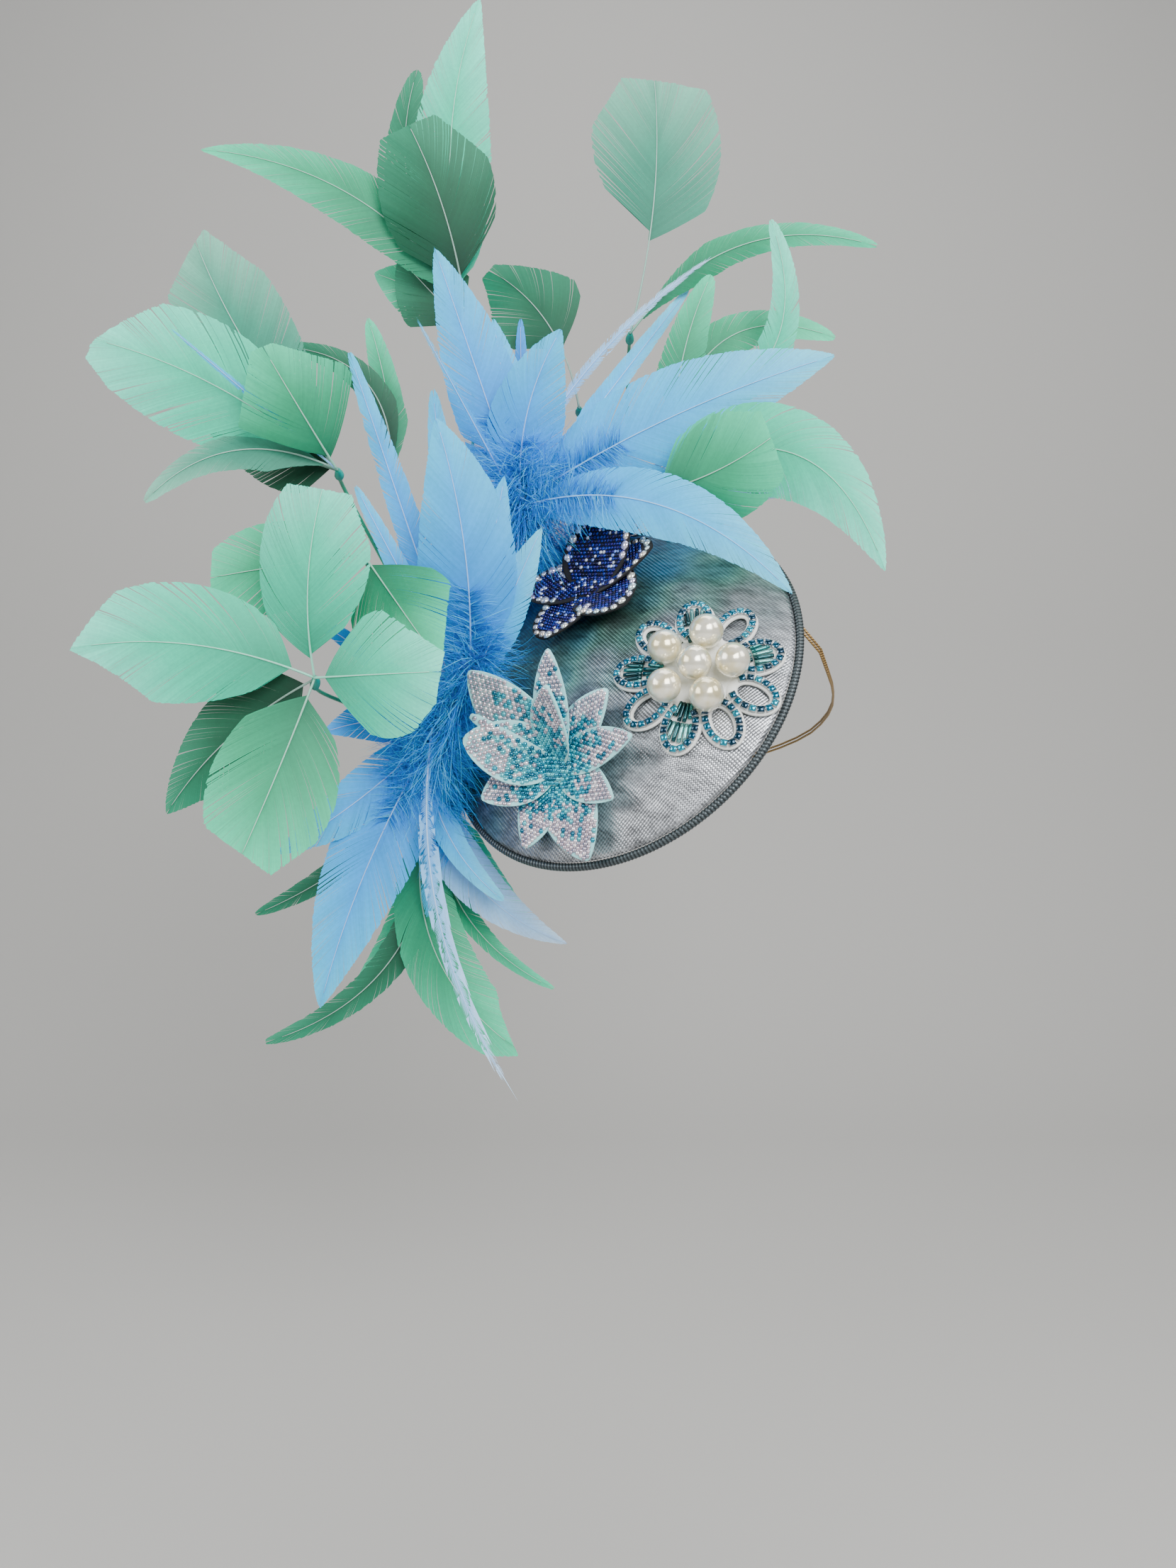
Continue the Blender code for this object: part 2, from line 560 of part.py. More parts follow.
def make_edge(material, collection):
    """The cloth-bound wire round the saucer."""
    bpy.ops.mesh.primitive_torus_add(
        major_radius=EDGE_RING_RADIUS,
        minor_radius=EDGE_RADIUS,
        major_segments=ROUND_STEPS,
        minor_segments=6,
        location=(0.0, 0.0, EDGE_RING_HEIGHT),
    )
    item = bpy.context.object
    item.name = "bound_edge"
    for owner in list(item.users_collection):
        owner.objects.unlink(item)
    collection.objects.link(item)
    item.data.materials.append(material)
    item.data.shade_smooth()
    return item


def saucer_place(place):
    """Matrix, in the saucer's frame, of a flower's own frame: origin on the sphere, Z off it."""
    x, y = place[0] * BASE_RADIUS, place[1] * BASE_RADIUS
    outward = Vector((x, y, math.sqrt(SPHERE_RADIUS**2 - x**2 - y**2))).normalized()
    right = Vector((0.0, 1.0, 0.0)).cross(outward).normalized()
    up = outward.cross(right)
    turn = Matrix((right, up, outward)).transposed().to_4x4()
    centre = Vector((0.0, 0.0, -SPHERE_RADIUS)) + outward * (SPHERE_RADIUS + BASE_WALL + FIT_GAP)
    return Matrix.Translation(centre) @ turn


def drape(points):
    """Bend flat work, given in a flower's own frame, over the saucer's sphere."""
    points = np.asarray(points, dtype=float)
    ball = SPHERE_RADIUS + BASE_WALL + FIT_GAP
    flat = points.copy()
    flat[..., 2] = ball
    bent = unit(flat) * (ball + points[..., 2:3])
    bent[..., 2] -= ball
    return bent


def drape_mesh(mesh):
    """The same bend for a mesh's points."""
    flat = np.empty(len(mesh.vertices) * 3)
    mesh.vertices.foreach_get("co", flat)
    mesh.vertices.foreach_set("co", drape(flat.reshape(-1, 3)).ravel())
    mesh.update()


def petal_solid(row, span, lift):
    """A petal: a leaf outline that starts on the boss and slopes off the cloth."""
    heading, rise = math.radians(row.heading), math.radians(row.rise)
    along = np.array((0.0, 0.22, 0.48, 0.76, 1.0))
    ahead = np.array([math.sin(heading), math.cos(heading), 0.0])
    up = np.array([0.0, 0.0, 1.0])
    climb = along * math.tan(rise) + row.curl * along**3
    spine = np.outer(along, ahead) + np.outer(climb, up)
    spine = spine * span * row.length + up * lift
    width = np.maximum(np.sin(np.pi * along**0.85) ** 0.7, PETAL_NECK) * row.width * span
    edge = PETAL_THICKNESS * PETAL_EDGE
    return loft_blade(spine, up, width, 4, PETAL_THICKNESS, edge, -row.cup, 0.0 * along)


def make_flower(name, petals, span, boss_radius, boss_height, place, material, collection):
    """Petals fused round a felt boss that lies on the saucer."""
    helpers = bpy.data.collections.new(name + "_parts")
    bpy.context.scene.collection.children.link(helpers)
    for number, row in enumerate(petals):
        part = f"{name}_petal_{number + 1}"
        verts, faces = petal_solid(row, span, PETAL_THICKNESS)
        as_cutter(new_object(part, mesh_from(part, drape(verts), faces), material, helpers))
    item = make_boss(name, boss_radius, boss_height, material, collection)
    for part in [item, *helpers.objects]:
        part.matrix_basis = saucer_place(place)
    join_with(item, helpers)
    return item, helpers


def make_boss(name, radius, height, material, collection):
    """A flat round felt boss that follows the saucer under it."""
    bpy.ops.mesh.primitive_cylinder_add(vertices=20, radius=radius, depth=height, end_fill_type="TRIFAN")
    boss = bpy.context.object
    mesh = boss.data
    mesh.name = name
    mesh.transform(Matrix.Translation((0.0, 0.0, height / 2.0)))
    drape_mesh(mesh)
    bpy.data.objects.remove(boss)
    return new_object(name, mesh, material, collection)


def lace_lobe(name, turn, is_open):
    """One lobe of the lace ground: a bordered ring that is open, or a filled leaf."""
    ahead = np.array([math.cos(turn), math.sin(turn), 0.0])
    reach = LACE_SPAN - LACE_BOSS_RADIUS * (1.0 - LACE_LOBE_OVERLAP)
    if is_open:
        bpy.ops.mesh.primitive_torus_add(
            major_radius=1.0, minor_radius=0.25, major_segments=LOBE_STEPS, minor_segments=LOBE_SIDES
        )
        ring = bpy.context.object
        mesh = ring.data
        mesh.name = name
        angles = np.linspace(0.0, 2.0 * np.pi, LOBE_STEPS, endpoint=False)
        sweep = np.repeat(angles, LOBE_SIDES)
        round_it = np.tile(np.linspace(0.0, 2.0 * np.pi, LOBE_SIDES, endpoint=False), LOBE_STEPS)
        long_half = reach / 2.0 - LACE_BORDER_WIDTH / 2.0
        wide_half = LACE_LOBE_WIDTH / 2.0 - LACE_BORDER_WIDTH / 2.0
        swell = LACE_BORDER_WIDTH / 2.0 * np.cos(round_it)
        x = LACE_SPAN - reach / 2.0 + np.cos(sweep) * (long_half + swell)
        y = np.sin(sweep) * (wide_half + swell)
        z = LACE_THICKNESS / 2.0 * (1.0 + np.sin(round_it))
        points = np.stack([x * ahead[0] - y * ahead[1], x * ahead[1] + y * ahead[0], z], axis=1)
        mesh.vertices.foreach_set("co", drape(points).ravel())
        mesh.update()
        bpy.data.objects.remove(ring)
        return mesh
    along = np.array((0.0, 0.3, 0.6, 0.88, 1.0))
    start = LACE_SPAN - reach
    spine = np.outer(start + along * reach, ahead) + np.array([0.0, 0.0, LACE_THICKNESS / 2.0])
    width = LACE_LOBE_WIDTH * np.sqrt(np.clip(1.0 - (2.0 * along**1.3 - 1.0) ** 2, 0.12, 1.0))
    edge = LACE_THICKNESS * LACE_EDGE
    solid = loft_blade(spine, np.array([0.0, 0.0, 1.0]), width, 4, LACE_THICKNESS, edge, 0.0, 0.0 * along)
    return mesh_from(name, drape(solid[0]), solid[1])


def make_lace(material, collection):
    """The pearl flower's felt ground: nine round lobes, every other one open."""
    helpers = bpy.data.collections.new("lace_flower_parts")
    bpy.context.scene.collection.children.link(helpers)
    height = LACE_THICKNESS * LACE_BOSS_SHARE
    item = make_boss("lace_flower", LACE_BOSS_RADIUS, height, material, collection)
    for lobe in range(LACE_LOBES):
        turn = math.radians(FIRST_LOBE_ANGLE + 360.0 * lobe / LACE_LOBES)
        name = f"lace_lobe_{lobe + 1}"
        as_cutter(new_object(name, lace_lobe(name, turn, lobe % 2 == 0), material, helpers))
    for part in [item, *helpers.objects]:
        part.matrix_basis = saucer_place(LACE_PLACE)
    join_with(item, helpers)
    return item, helpers


def make_pearls(material, collection):
    """One pearl in the middle of the lace flower and a ring of them round it."""
    made = []
    ring = 2.0 * PEARL_RADIUS + FIT_GAP
    for number in range(PEARLS_ROUND + 1):
        turn = math.radians(FIRST_PEARL_ANGLE + 360.0 / PEARLS_ROUND * number)
        reach = 0.0 if number == PEARLS_ROUND else ring
        spot = drape([reach * math.cos(turn), reach * math.sin(turn), LACE_THICKNESS + FIT_GAP + PEARL_RADIUS])
        bpy.ops.mesh.primitive_uv_sphere_add(segments=12, ring_count=6, radius=PEARL_RADIUS)
        ball = bpy.context.object
        mesh = ball.data
        mesh.transform(Matrix.Translation(Vector(spot)))
        bpy.data.objects.remove(ball)
        item = new_object(f"pearl_{number + 1}", mesh, material, collection)
        item.matrix_basis = saucer_place(LACE_PLACE)
        made.append(item)
    return made


def make_elastic(material, collection):
    """Two strands beside each other, from one side of the saucer round to the other."""
    middle = smooth_path(np.array(ELASTIC_ROUTE) * MM, ELASTIC_POINTS)
    run = unit(np.gradient(middle, axis=0))
    beside = unit(np.cross(run, np.array([0.0, 0.0, 1.0])))
    above = np.cross(beside, run)
    for name, sign in (("elastic_upper", 1.0), ("elastic_lower", -1.0)):
        path = middle + above * sign * ELASTIC_SPACING / 2.0
        tube_curve(name, path, ELASTIC_RADIUS, 2, material, collection)


def main():
    for item in list(bpy.data.objects):
        bpy.data.objects.remove(item)
    collection = bpy.data.collections.new("fascinator")
    bpy.context.scene.collection.children.link(collection)
    cloth = new_material("organza_over_buckram", (0.36, 0.42, 0.45), 0.35, 0.4)
    binding = new_material("grey_bias_binding", (0.16, 0.19, 0.22), 0.55)
    blue = new_material("dyed_goose_blue", (0.10, 0.38, 0.86), 0.55)
    green = new_material("dyed_goose_green", (0.05, 0.52, 0.36), 0.55)
    navy = new_material("navy_stones_on_felt", (0.02, 0.03, 0.22), 0.3)
    aqua = new_material("aqua_stones_on_foam", (0.35, 0.62, 0.68), 0.35)
    felt = new_material("white_felt", (0.80, 0.82, 0.80), 0.7)
    nacre = new_material("ivory_nacre", (0.86, 0.83, 0.70), 0.2)
    bronze = new_material("bronze_elastic", (0.30, 0.20, 0.09), 0.45)

    seat = bpy.data.objects.new("saucer_frame", None)
    collection.objects.link(seat)
    seat.matrix_world = Matrix(BASE_AXES.tolist()).to_4x4()

    on_saucer = [make_base(cloth, collection), make_edge(binding, collection)]
    flowers = (
        ("navy_flower", NAVY_PETALS, NAVY_SPAN, NAVY_BOSS_RADIUS, NAVY_BOSS_HEIGHT, NAVY_PLACE, navy),
        ("lotus_flower", LOTUS_PETALS, LOTUS_SPAN, LOTUS_BOSS_RADIUS, LOTUS_BOSS_HEIGHT, LOTUS_PLACE, aqua),
    )
    for name, petals, span, boss, height, place, material in flowers:
        item, helpers = make_flower(name, petals, span, boss, height, place, material, collection)
        on_saucer += [item, *helpers.objects]
    lace, lobes = make_lace(felt, collection)
    on_saucer += [lace, *lobes.objects]
    on_saucer += make_pearls(nacre, collection)
    for item in on_saucer:
        item.parent = seat

    paint = {"blue": blue, "green": green}
    for spray in SPRAYS:
        make_spray(spray, paint[spray.colour], collection)
    make_elastic(bronze, collection)


main()
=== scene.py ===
# %% [markdown]
# # A feathered saucer fascinator
# A fascinator like this is a stiff cloth-covered saucer with feathers wired to its edge and beaded
# flowers sewn on top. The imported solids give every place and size, and the cells below dress them:
# first the camera and the elastic, then cloth, feathers, flowers and light.

import math
from collections import namedtuple

import bpy
import numpy as np
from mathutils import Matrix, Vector


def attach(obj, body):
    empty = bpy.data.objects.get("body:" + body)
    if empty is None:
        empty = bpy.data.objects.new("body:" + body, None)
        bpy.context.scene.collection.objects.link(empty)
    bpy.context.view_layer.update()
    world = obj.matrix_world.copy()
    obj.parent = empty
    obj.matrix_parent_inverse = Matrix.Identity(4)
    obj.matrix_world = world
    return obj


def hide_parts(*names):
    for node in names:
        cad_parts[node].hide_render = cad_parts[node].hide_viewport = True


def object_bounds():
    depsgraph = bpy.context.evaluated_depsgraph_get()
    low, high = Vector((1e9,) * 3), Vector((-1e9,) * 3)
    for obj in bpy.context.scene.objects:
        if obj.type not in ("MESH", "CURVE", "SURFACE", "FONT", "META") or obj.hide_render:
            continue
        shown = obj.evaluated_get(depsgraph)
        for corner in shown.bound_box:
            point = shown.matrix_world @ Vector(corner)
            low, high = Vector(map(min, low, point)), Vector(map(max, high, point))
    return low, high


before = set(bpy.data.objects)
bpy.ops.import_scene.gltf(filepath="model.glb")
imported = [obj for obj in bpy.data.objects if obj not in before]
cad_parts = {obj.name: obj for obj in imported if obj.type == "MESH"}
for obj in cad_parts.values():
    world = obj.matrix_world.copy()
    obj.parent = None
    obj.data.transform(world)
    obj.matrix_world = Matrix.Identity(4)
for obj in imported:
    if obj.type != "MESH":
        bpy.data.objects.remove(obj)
cad_low, cad_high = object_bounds()
MM = 0.001
DRAWS = np.random.default_rng(7)
UPWARDS = np.array([0.0, 0.0, 1.0])
print("CAD box in mm:", [round((b - a) / MM) for a, b in zip(cad_low, cad_high)])

# %% [markdown]
# The camera stands where the perspective of the round edge puts it: about half a metre in front,
# level with the saucer and tipped a little down. The sensor is as tall as the picture, so the lens
# follows from the picture's height.

# %% Camera
PICTURE_WIDTH = 1659
PICTURE_HEIGHT = 2212
CAMERA_PLACE = (-0.2 * MM, -470.7 * MM, -16.6 * MM)
CAMERA_TIP = 86.0
FOCAL_PIXELS = 1662.0
SENSOR_HEIGHT = 36.0


def make_camera():
    """A camera whose focal length in pixels is turned to millimetres of sensor."""
    data = bpy.data.cameras.new("front_camera")
    data.sensor_fit = "VERTICAL"
    data.sensor_height = SENSOR_HEIGHT
    data.sensor_width = SENSOR_HEIGHT * PICTURE_WIDTH / PICTURE_HEIGHT
    data.lens = FOCAL_PIXELS / PICTURE_HEIGHT * SENSOR_HEIGHT
    data.clip_start = 0.01
    camera = bpy.data.objects.new("front_camera", data)
    bpy.context.scene.collection.objects.link(camera)
    camera.location = CAMERA_PLACE
    camera.rotation_euler = (math.radians(CAMERA_TIP), 0.0, 0.0)
    bpy.context.scene.camera = camera
    return camera


camera = make_camera()
print("lens:", round(camera.data.lens, 2), "mm")

# %% [markdown]
# Every piece is a surface worked out with numpy: rows and columns of points, joined by four-cornered
# faces. A tube, a pearl and a stone are all rings of points between two end points, so one helper
# closes them. Helpers that many pieces share come first.

# %% Colours and shader nodes
def colour(code):
    """An sRGB hex colour as the linear values that a shader reads."""
    parts = np.array([int(code[i : i + 2], 16) for i in (1, 3, 5)]) / 255.0
    linear = np.where(parts <= 0.04045, parts / 12.92, ((parts + 0.055) / 1.055) ** 2.4)
    return (*linear.tolist(), 1.0)


def colours(codes):
    """Several hex colours as an array with a row for each."""
    return np.array([colour(code)[:3] for code in codes])


def add_node(material, kind, output=0, **settings):
    """Adds a shader node and gives one output; in_ settings are its inputs, others its properties."""
    tree = material.node_tree
    node = tree.nodes.new("ShaderNode" + kind)
    for name, value in settings.items():
        if not name.startswith("in_"):
            setattr(node, name, value)
            continue
        key = name[3:]
        entry = node.inputs[int(key) if key.isdigit() else key]
        if isinstance(value, bpy.types.NodeSocket):
            tree.links.new(value, entry)
        else:
            entry.default_value = value
    return node.outputs[output]


def new_material(name, base, roughness, metallic=0.0, **more):
    """A Principled material; more names other sockets, with _ for a space."""
    material = bpy.data.materials.new(name)
    material.use_nodes = True
    inputs = material.node_tree.nodes["Principled BSDF"].inputs
    inputs["Base Color"].default_value = colour(base)
    inputs["Roughness"].default_value = roughness
    inputs["Metallic"].default_value = metallic
    for key, value in more.items():
        inputs[key.replace("_", " ")].default_value = value
    return material


def link_to_shader(material, **sockets):
    """Joins node outputs to the Principled shader's inputs."""
    shader = material.node_tree.nodes["Principled BSDF"]
    for key, socket in sockets.items():
        material.node_tree.links.new(socket, shader.inputs[key.replace("_", " ")])


def ramped(material, value, stops):
    """A value turned to colour by stops of (place, hex colour)."""
    output = add_node(material, "ValToRGB", in_Fac=value)
    elements = output.node.color_ramp.elements
    while len(elements) < len(stops):
        elements.new(0.5)
    for element, (place, code) in zip(elements, stops):
        element.position = place
        element.color = colour(code)
    return output


def tinted(material, light=None):
    """The piece's own colours, stored for each point, times a socket where one is given."""
    shade = add_node(material, "Attribute", "Vector", attribute_name="Tint")
    if light is None:
        return shade
    return add_node(material, "VectorMath", operation="MULTIPLY", in_0=shade, in_1=light)


def grain_in(material, scale, detail):
    """Fine noise fixed to the object, with scale in turns a metre."""
    place = add_node(material, "TexCoord", "Object")
    return add_node(material, "TexNoise", in_Vector=place, in_Scale=scale, in_Detail=detail)


def link_bump(material, height, strength, depth):
    """Bends the shader's normal by a height whose full swing is depth."""
    normal = add_node(material, "Bump", in_Height=height, in_Strength=strength, in_Distance=depth)
    link_to_shader(material, Normal=normal)


# %% Meshes from whole arrays
CURVE_STEPS = 24


def unit(vectors):
    """Rows scaled to length one."""
    return vectors / np.maximum(np.linalg.norm(vectors, axis=-1, keepdims=True), 1e-12)


def at_share(along, table, share):
    """The rows of a table, read between its own marks."""
    return np.stack([np.interp(share, along, column) for column in table.T], axis=-1)


def run_length(points):
    """Length along a line up to each of its points."""
    return np.concatenate([[0.0], np.cumsum(np.linalg.norm(np.diff(points, axis=0), axis=1))])


def full_turn(count):
    """Even angles once round, without the last that would meet the first."""
    return np.linspace(0.0, 2.0 * np.pi, count, endpoint=False)


def round_rings(radii, levels, turn):
    """Rings of points about the upward axis, one for each radius and level."""
    radii, levels = np.asarray(radii)[:, None], np.asarray(levels)[:, None]
    return np.stack([radii * np.cos(turn), radii * np.sin(turn), levels * np.ones_like(turn)], axis=-1)


def grid_quads(rows, cols, close_rows=False, close_cols=False):
    """Corner numbers of the faces between the rows and columns of a grid of points."""
    i = np.arange(rows if close_rows else rows - 1)
    j = np.arange(cols if close_cols else cols - 1)
    a, b = np.meshgrid(i, j, indexing="ij")
    c, d = (a + 1) % rows, (b + 1) % cols
    return np.stack([a * cols + b, a * cols + d, c * cols + d, c * cols + b], axis=-1).reshape(-1, 4)


def closed_rings(rings, first, last):
    """Rings of points, shape (rows, columns, 3), closed by an end point on each side."""
    rows, cols = rings.shape[:2]
    verts = np.concatenate([rings.reshape(-1, 3), [first], [last]])
    j = np.arange(cols)
    k = (j + 1) % cols
    cap = np.stack([k, j, np.full(cols, rows * cols)], axis=1)
    end = (rows - 1) * cols
    tip = np.stack([end + j, end + k, np.full(cols, rows * cols + 1)], axis=1)
    faces = [grid_quads(rows, cols, close_cols=True), np.concatenate([cap, tip])]
    return turned_out(verts, faces)


def turned_out(verts, faces):
    """The same closed shape with its faces outwards: their signed volume is made positive."""
    volume = 0.0
    for group in faces:
        for k in range(1, group.shape[1] - 1):
            a, b, c = verts[group[:, 0]], verts[group[:, k]], verts[group[:, k + 1]]
            volume += np.einsum("ij,ij->", a, np.cross(b, c))
    return verts, faces if volume > 0.0 else [group[:, ::-1] for group in faces]


def merged(shapes):
    """Several (verts, faces) shapes as one."""
    verts, faces, start = [], [], 0
    for points, groups in shapes:
        verts.append(points)
        faces += [group + start for group in groups]
        start += len(points)
    return np.concatenate(verts), faces


def stamped(template, places, axes, sizes):
    """Copies of a small shape: each point is place + size * (x right + y up + z out)."""
    verts, groups = template
    local = verts[None] * sizes[:, None, None]
    points = places[:, None] + np.einsum("nvk,nkd->nvd", local, axes)
    shift = (np.arange(len(places)) * len(verts))[:, None, None]
    return points.reshape(-1, 3), [(group[None] + shift).reshape(-1, group.shape[1]) for group in groups]


def add_piece(name, shape, material, replaces=(), uv=None, tint=None, smooth=True):
    """One object at the origin from arrays; uv has two values a point and tint has three."""
    verts, groups = shape
    loops = np.concatenate([group.ravel() for group in groups]).astype(np.int32)
    sizes = np.concatenate([np.full(len(group), group.shape[1]) for group in groups])
    mesh = bpy.data.meshes.new(name)
    mesh.vertices.add(len(verts))
    mesh.vertices.foreach_set("co", np.ascontiguousarray(verts, dtype=np.float32).ravel())
    mesh.loops.add(len(loops))
    mesh.loops.foreach_set("vertex_index", loops)
    mesh.polygons.add(len(sizes))
    mesh.polygons.foreach_set("loop_start", np.concatenate([[0], np.cumsum(sizes)[:-1]]).astype(np.int32))
    mesh.update(calc_edges=True)
    if uv is not None:
        layer = mesh.uv_layers.new(name="UVMap")
        layer.data.foreach_set("uv", np.asarray(uv, dtype=np.float32)[loops].ravel())
    if tint is not None:
        rgba = np.concatenate([tint, np.ones((len(tint), 1))], axis=1).astype(np.float32)
        mesh.attributes.new("Tint", "FLOAT_COLOR", "POINT").data.foreach_set("color", rgba.ravel())
    if smooth:
        mesh.shade_smooth()
    mesh.materials.append(material)
    item = bpy.data.objects.new(name, mesh)
    bpy.context.scene.collection.objects.link(item)
    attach(item, "root")
    if replaces:
        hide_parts(*replaces)
    print(f"{name}: {int((sizes - 2).sum())} triangles")
    return item


# %% Paths and tubes
def smooth_path(points, count):
    """Points evenly spread along a smooth curve through the given ones (Catmull-Rom)."""
    pts = np.array(points, dtype=float)
    ends = np.concatenate([2 * pts[:1] - pts[1:2], pts, 2 * pts[-1:] - pts[-2:-1]])
    t = np.linspace(0.0, 1.0, CURVE_STEPS, endpoint=False)[:, None]
    runs = []
    for a, b, c, d in zip(ends[:-3], ends[1:-2], ends[2:-1], ends[3:]):
        cubic = (2 * a - 5 * b + 4 * c - d) * t**2 + (3 * b - a - 3 * c + d) * t**3
        runs.append(0.5 * (2 * b + (c - a) * t + cubic))
    dense = np.concatenate(runs + [pts[-1:]])
    reach = run_length(dense)
    return at_share(reach, dense, np.linspace(0.0, reach[-1], count))


def tube(path, radius, sides, hint):
    """A closed round tube: at each point a ring of the given radius; the hint says where rings begin."""
    hint = np.broadcast_to(hint, path.shape)
    run = unit(np.gradient(path, axis=0))
    over = unit(hint - np.sum(run * hint, axis=-1, keepdims=True) * run)
    across = np.cross(over, run)
    turn = full_turn(sides)[None, :, None]
    ring = across[:, None] * np.cos(turn) + over[:, None] * np.sin(turn)
    girth = np.broadcast_to(radius, len(path))[:, None, None]
    return closed_rings(path[:, None] + ring * girth, path[0], path[-1])


def tube_uv(points, sides, length, radius):
    """UVs in metres along and round a tube made by the function above."""
    along = np.repeat(np.linspace(0.0, length, points), sides)
    body = np.stack([along, np.tile(full_turn(sides) * radius, points)], axis=1)
    return np.concatenate([body, [[0.0, 0.0], [length, 0.0]]])


# %% [markdown]
# The fascinator is kept on by a thin elastic that is doubled and pulled tight. Covered elastic is
# a rubber core with thread wound round it, so it shows fine slanting turns of a bronze thread. Each
# strand follows the same route as its solid, and its real length is printed.

# %% Elastic strands
ELASTIC_RADIUS = 0.5 * MM
ELASTIC_SPACING = 1.5 * MM
ELASTIC_POINTS = 26
ELASTIC_SIDES = 12
THREAD_PITCH = 0.8 * MM
ELASTIC_ROUTE = (
    (81.5, -18.5, 10.9),
    (90.0, -11.0, 3.0),
    (96.0, 2.0, -6.0),
    (102.5, 24.0, -13.0),
    (106.0, 52.0, -22.0),
    (101.0, 86.0, -33.0),
    (80.0, 120.0, -44.0),
    (44.0, 136.0, -51.0),
    (4.0, 130.0, -52.0),
    (-32.0, 106.0, -46.0),
    (-54.0, 78.0, -38.0),
    (-56.9, 54.8, -30.3),
)


def bronze_elastic():
    """Bronze thread wound over rubber: slanting stripes from the UV in metres with painted groove shade,
    soft satin gloss.
    """
    material = new_material("bronze_covered_elastic", "#8a6a3a", 0.42, 0.35)
    place = add_node(material, "UVMap")
    turns = 1.0 / THREAD_PITCH / 3.0
    wave = add_node(material, "TexWave", "Fac", bands_direction="DIAGONAL", in_Vector=place, in_Scale=turns)
    # Painted shade and highlight: each turn of thread is dark in its groove and light tan on its crest
    painted_turn_shade = ramped(material, wave, [(0.15, "#5b4220"), (0.55, "#94733f"), (1.0, "#c8a667")])
    link_to_shader(material, Base_Color=painted_turn_shade)
    link_bump(material, wave, 0.5, 0.1 * MM)
    return material


def make_elastic():
    """Two strands side by side, each half the spacing off the route's middle line."""
    material = bronze_elastic()
    middle = smooth_path(np.array(ELASTIC_ROUTE) * MM, ELASTIC_POINTS)
    run = unit(np.gradient(middle, axis=0))
    above = np.cross(unit(np.cross(run, UPWARDS)), run)
    for name, sign in (("elastic_upper", 1.0), ("elastic_lower", -1.0)):
        path = middle + above * sign * ELASTIC_SPACING / 2.0
        length = run_length(path)[-1]
        shape = tube(path, ELASTIC_RADIUS, ELASTIC_SIDES, UPWARDS)
        uv = tube_uv(ELASTIC_POINTS, ELASTIC_SIDES, length, ELASTIC_RADIUS)
        strand = add_piece(name + "_strand", shape, material, [name], uv=uv)
        print(f"  strand length {length / MM:.0f} mm")


make_elastic()

# %% [markdown]
# The saucer is two layers of stiff buckram under silver organza, a sheer cloth of metal-coated
# threads. It is a shallow slice of a sphere, so rings of points on that sphere make it. The cloth
# isn't glued flat: shallow dents catch the light at the lower right, and they are added to the
# sphere's radius as a sum of slanting waves.

# %% Saucer sizes and axes
BASE_RADIUS = 78.2 * MM
BASE_RISE = 22.0 * MM
BASE_WALL = 2.2 * MM
EDGE_RADIUS = 1.6 * MM
FIT_GAP = 0.3 * MM
BASE_TURN = 37.0
BASE_TIP_UP = 31.0

SPHERE_RADIUS = (BASE_RADIUS**2 + BASE_RISE**2) / (2.0 * BASE_RISE)
SLOPE_AT_EDGE = math.asin(BASE_RADIUS / SPHERE_RADIUS)
TURN = math.radians(BASE_TURN)
TIP_UP = math.radians(BASE_TIP_UP)
AWAY = np.array([math.sin(TURN), math.cos(TURN), 0.0])
AXIS_RIGHT = np.array([math.cos(TURN), -math.sin(TURN), 0.0])
AXIS_UP = math.sin(TIP_UP) * AWAY + math.cos(TIP_UP) * UPWARDS
AXIS_OUT = math.sin(TIP_UP) * UPWARDS - math.cos(TIP_UP) * AWAY
BASE_AXES = np.stack([AXIS_RIGHT, AXIS_UP, AXIS_OUT], axis=1)
HALF_WALL = BASE_WALL / 2.0
EDGE_STEP = FIT_GAP + EDGE_RADIUS
EDGE_RING_RADIUS = BASE_RADIUS + HALF_WALL * math.sin(SLOPE_AT_EDGE) + EDGE_STEP * math.cos(SLOPE_AT_EDGE)
EDGE_RING_HEIGHT = HALF_WALL * math.cos(SLOPE_AT_EDGE) - EDGE_STEP * math.sin(SLOPE_AT_EDGE) - BASE_RISE
OUTER_RADIUS = EDGE_RING_RADIUS + EDGE_RADIUS

# %% Organza
THREAD_SPACING = 0.9 * MM
DENT_DEPTH = 0.22 * MM
SAUCER_RINGS = 44
SAUCER_STEPS = 168
# Painted reflections and shade: the blue and green feathers mirrored in the metal cloth, darker towards the
# upper left
REFLECTION_AND_SHADE_STOPS = (0.0, 0.28, 0.48, 0.66, 1.0)
REFLECTION_AND_SHADE_COLOURS = ("#2f6c92", "#437f96", "#5f8a80", "#7d8388", "#a6a9ae")


def dents(right, up):
    """Shallow slanting waves: deepest at the lower right and gone at the upper left."""
    share = np.clip(0.55 + (right - up) / (2.2 * BASE_RADIUS), 0.1, 1.0)
    wave = np.sin(right * 520.0 + 2.2 * np.sin(up * 210.0)) + 0.8 * np.sin((right + 0.7 * up) * 900.0 + 1.0)
    return DENT_DEPTH * share * (wave + 0.5 * np.sin(up * 1300.0 + right * 400.0)) / 2.0


def painted_reflection_and_shade(right, up):
    """Painted reflection and shade: silver at lower right, darker steel blue at upper left, green between.
    """
    across = np.clip(0.5 + (right - 0.9 * up) / (2.3 * BASE_RADIUS), 0.0, 1.0)
    across = np.clip(across + 0.05 * np.sin(right * 260.0) + 0.04 * np.sin(up * 330.0 + 2.0), 0.0, 1.0)
    return at_share(REFLECTION_AND_SHADE_STOPS, colours(REFLECTION_AND_SHADE_COLOURS), across)


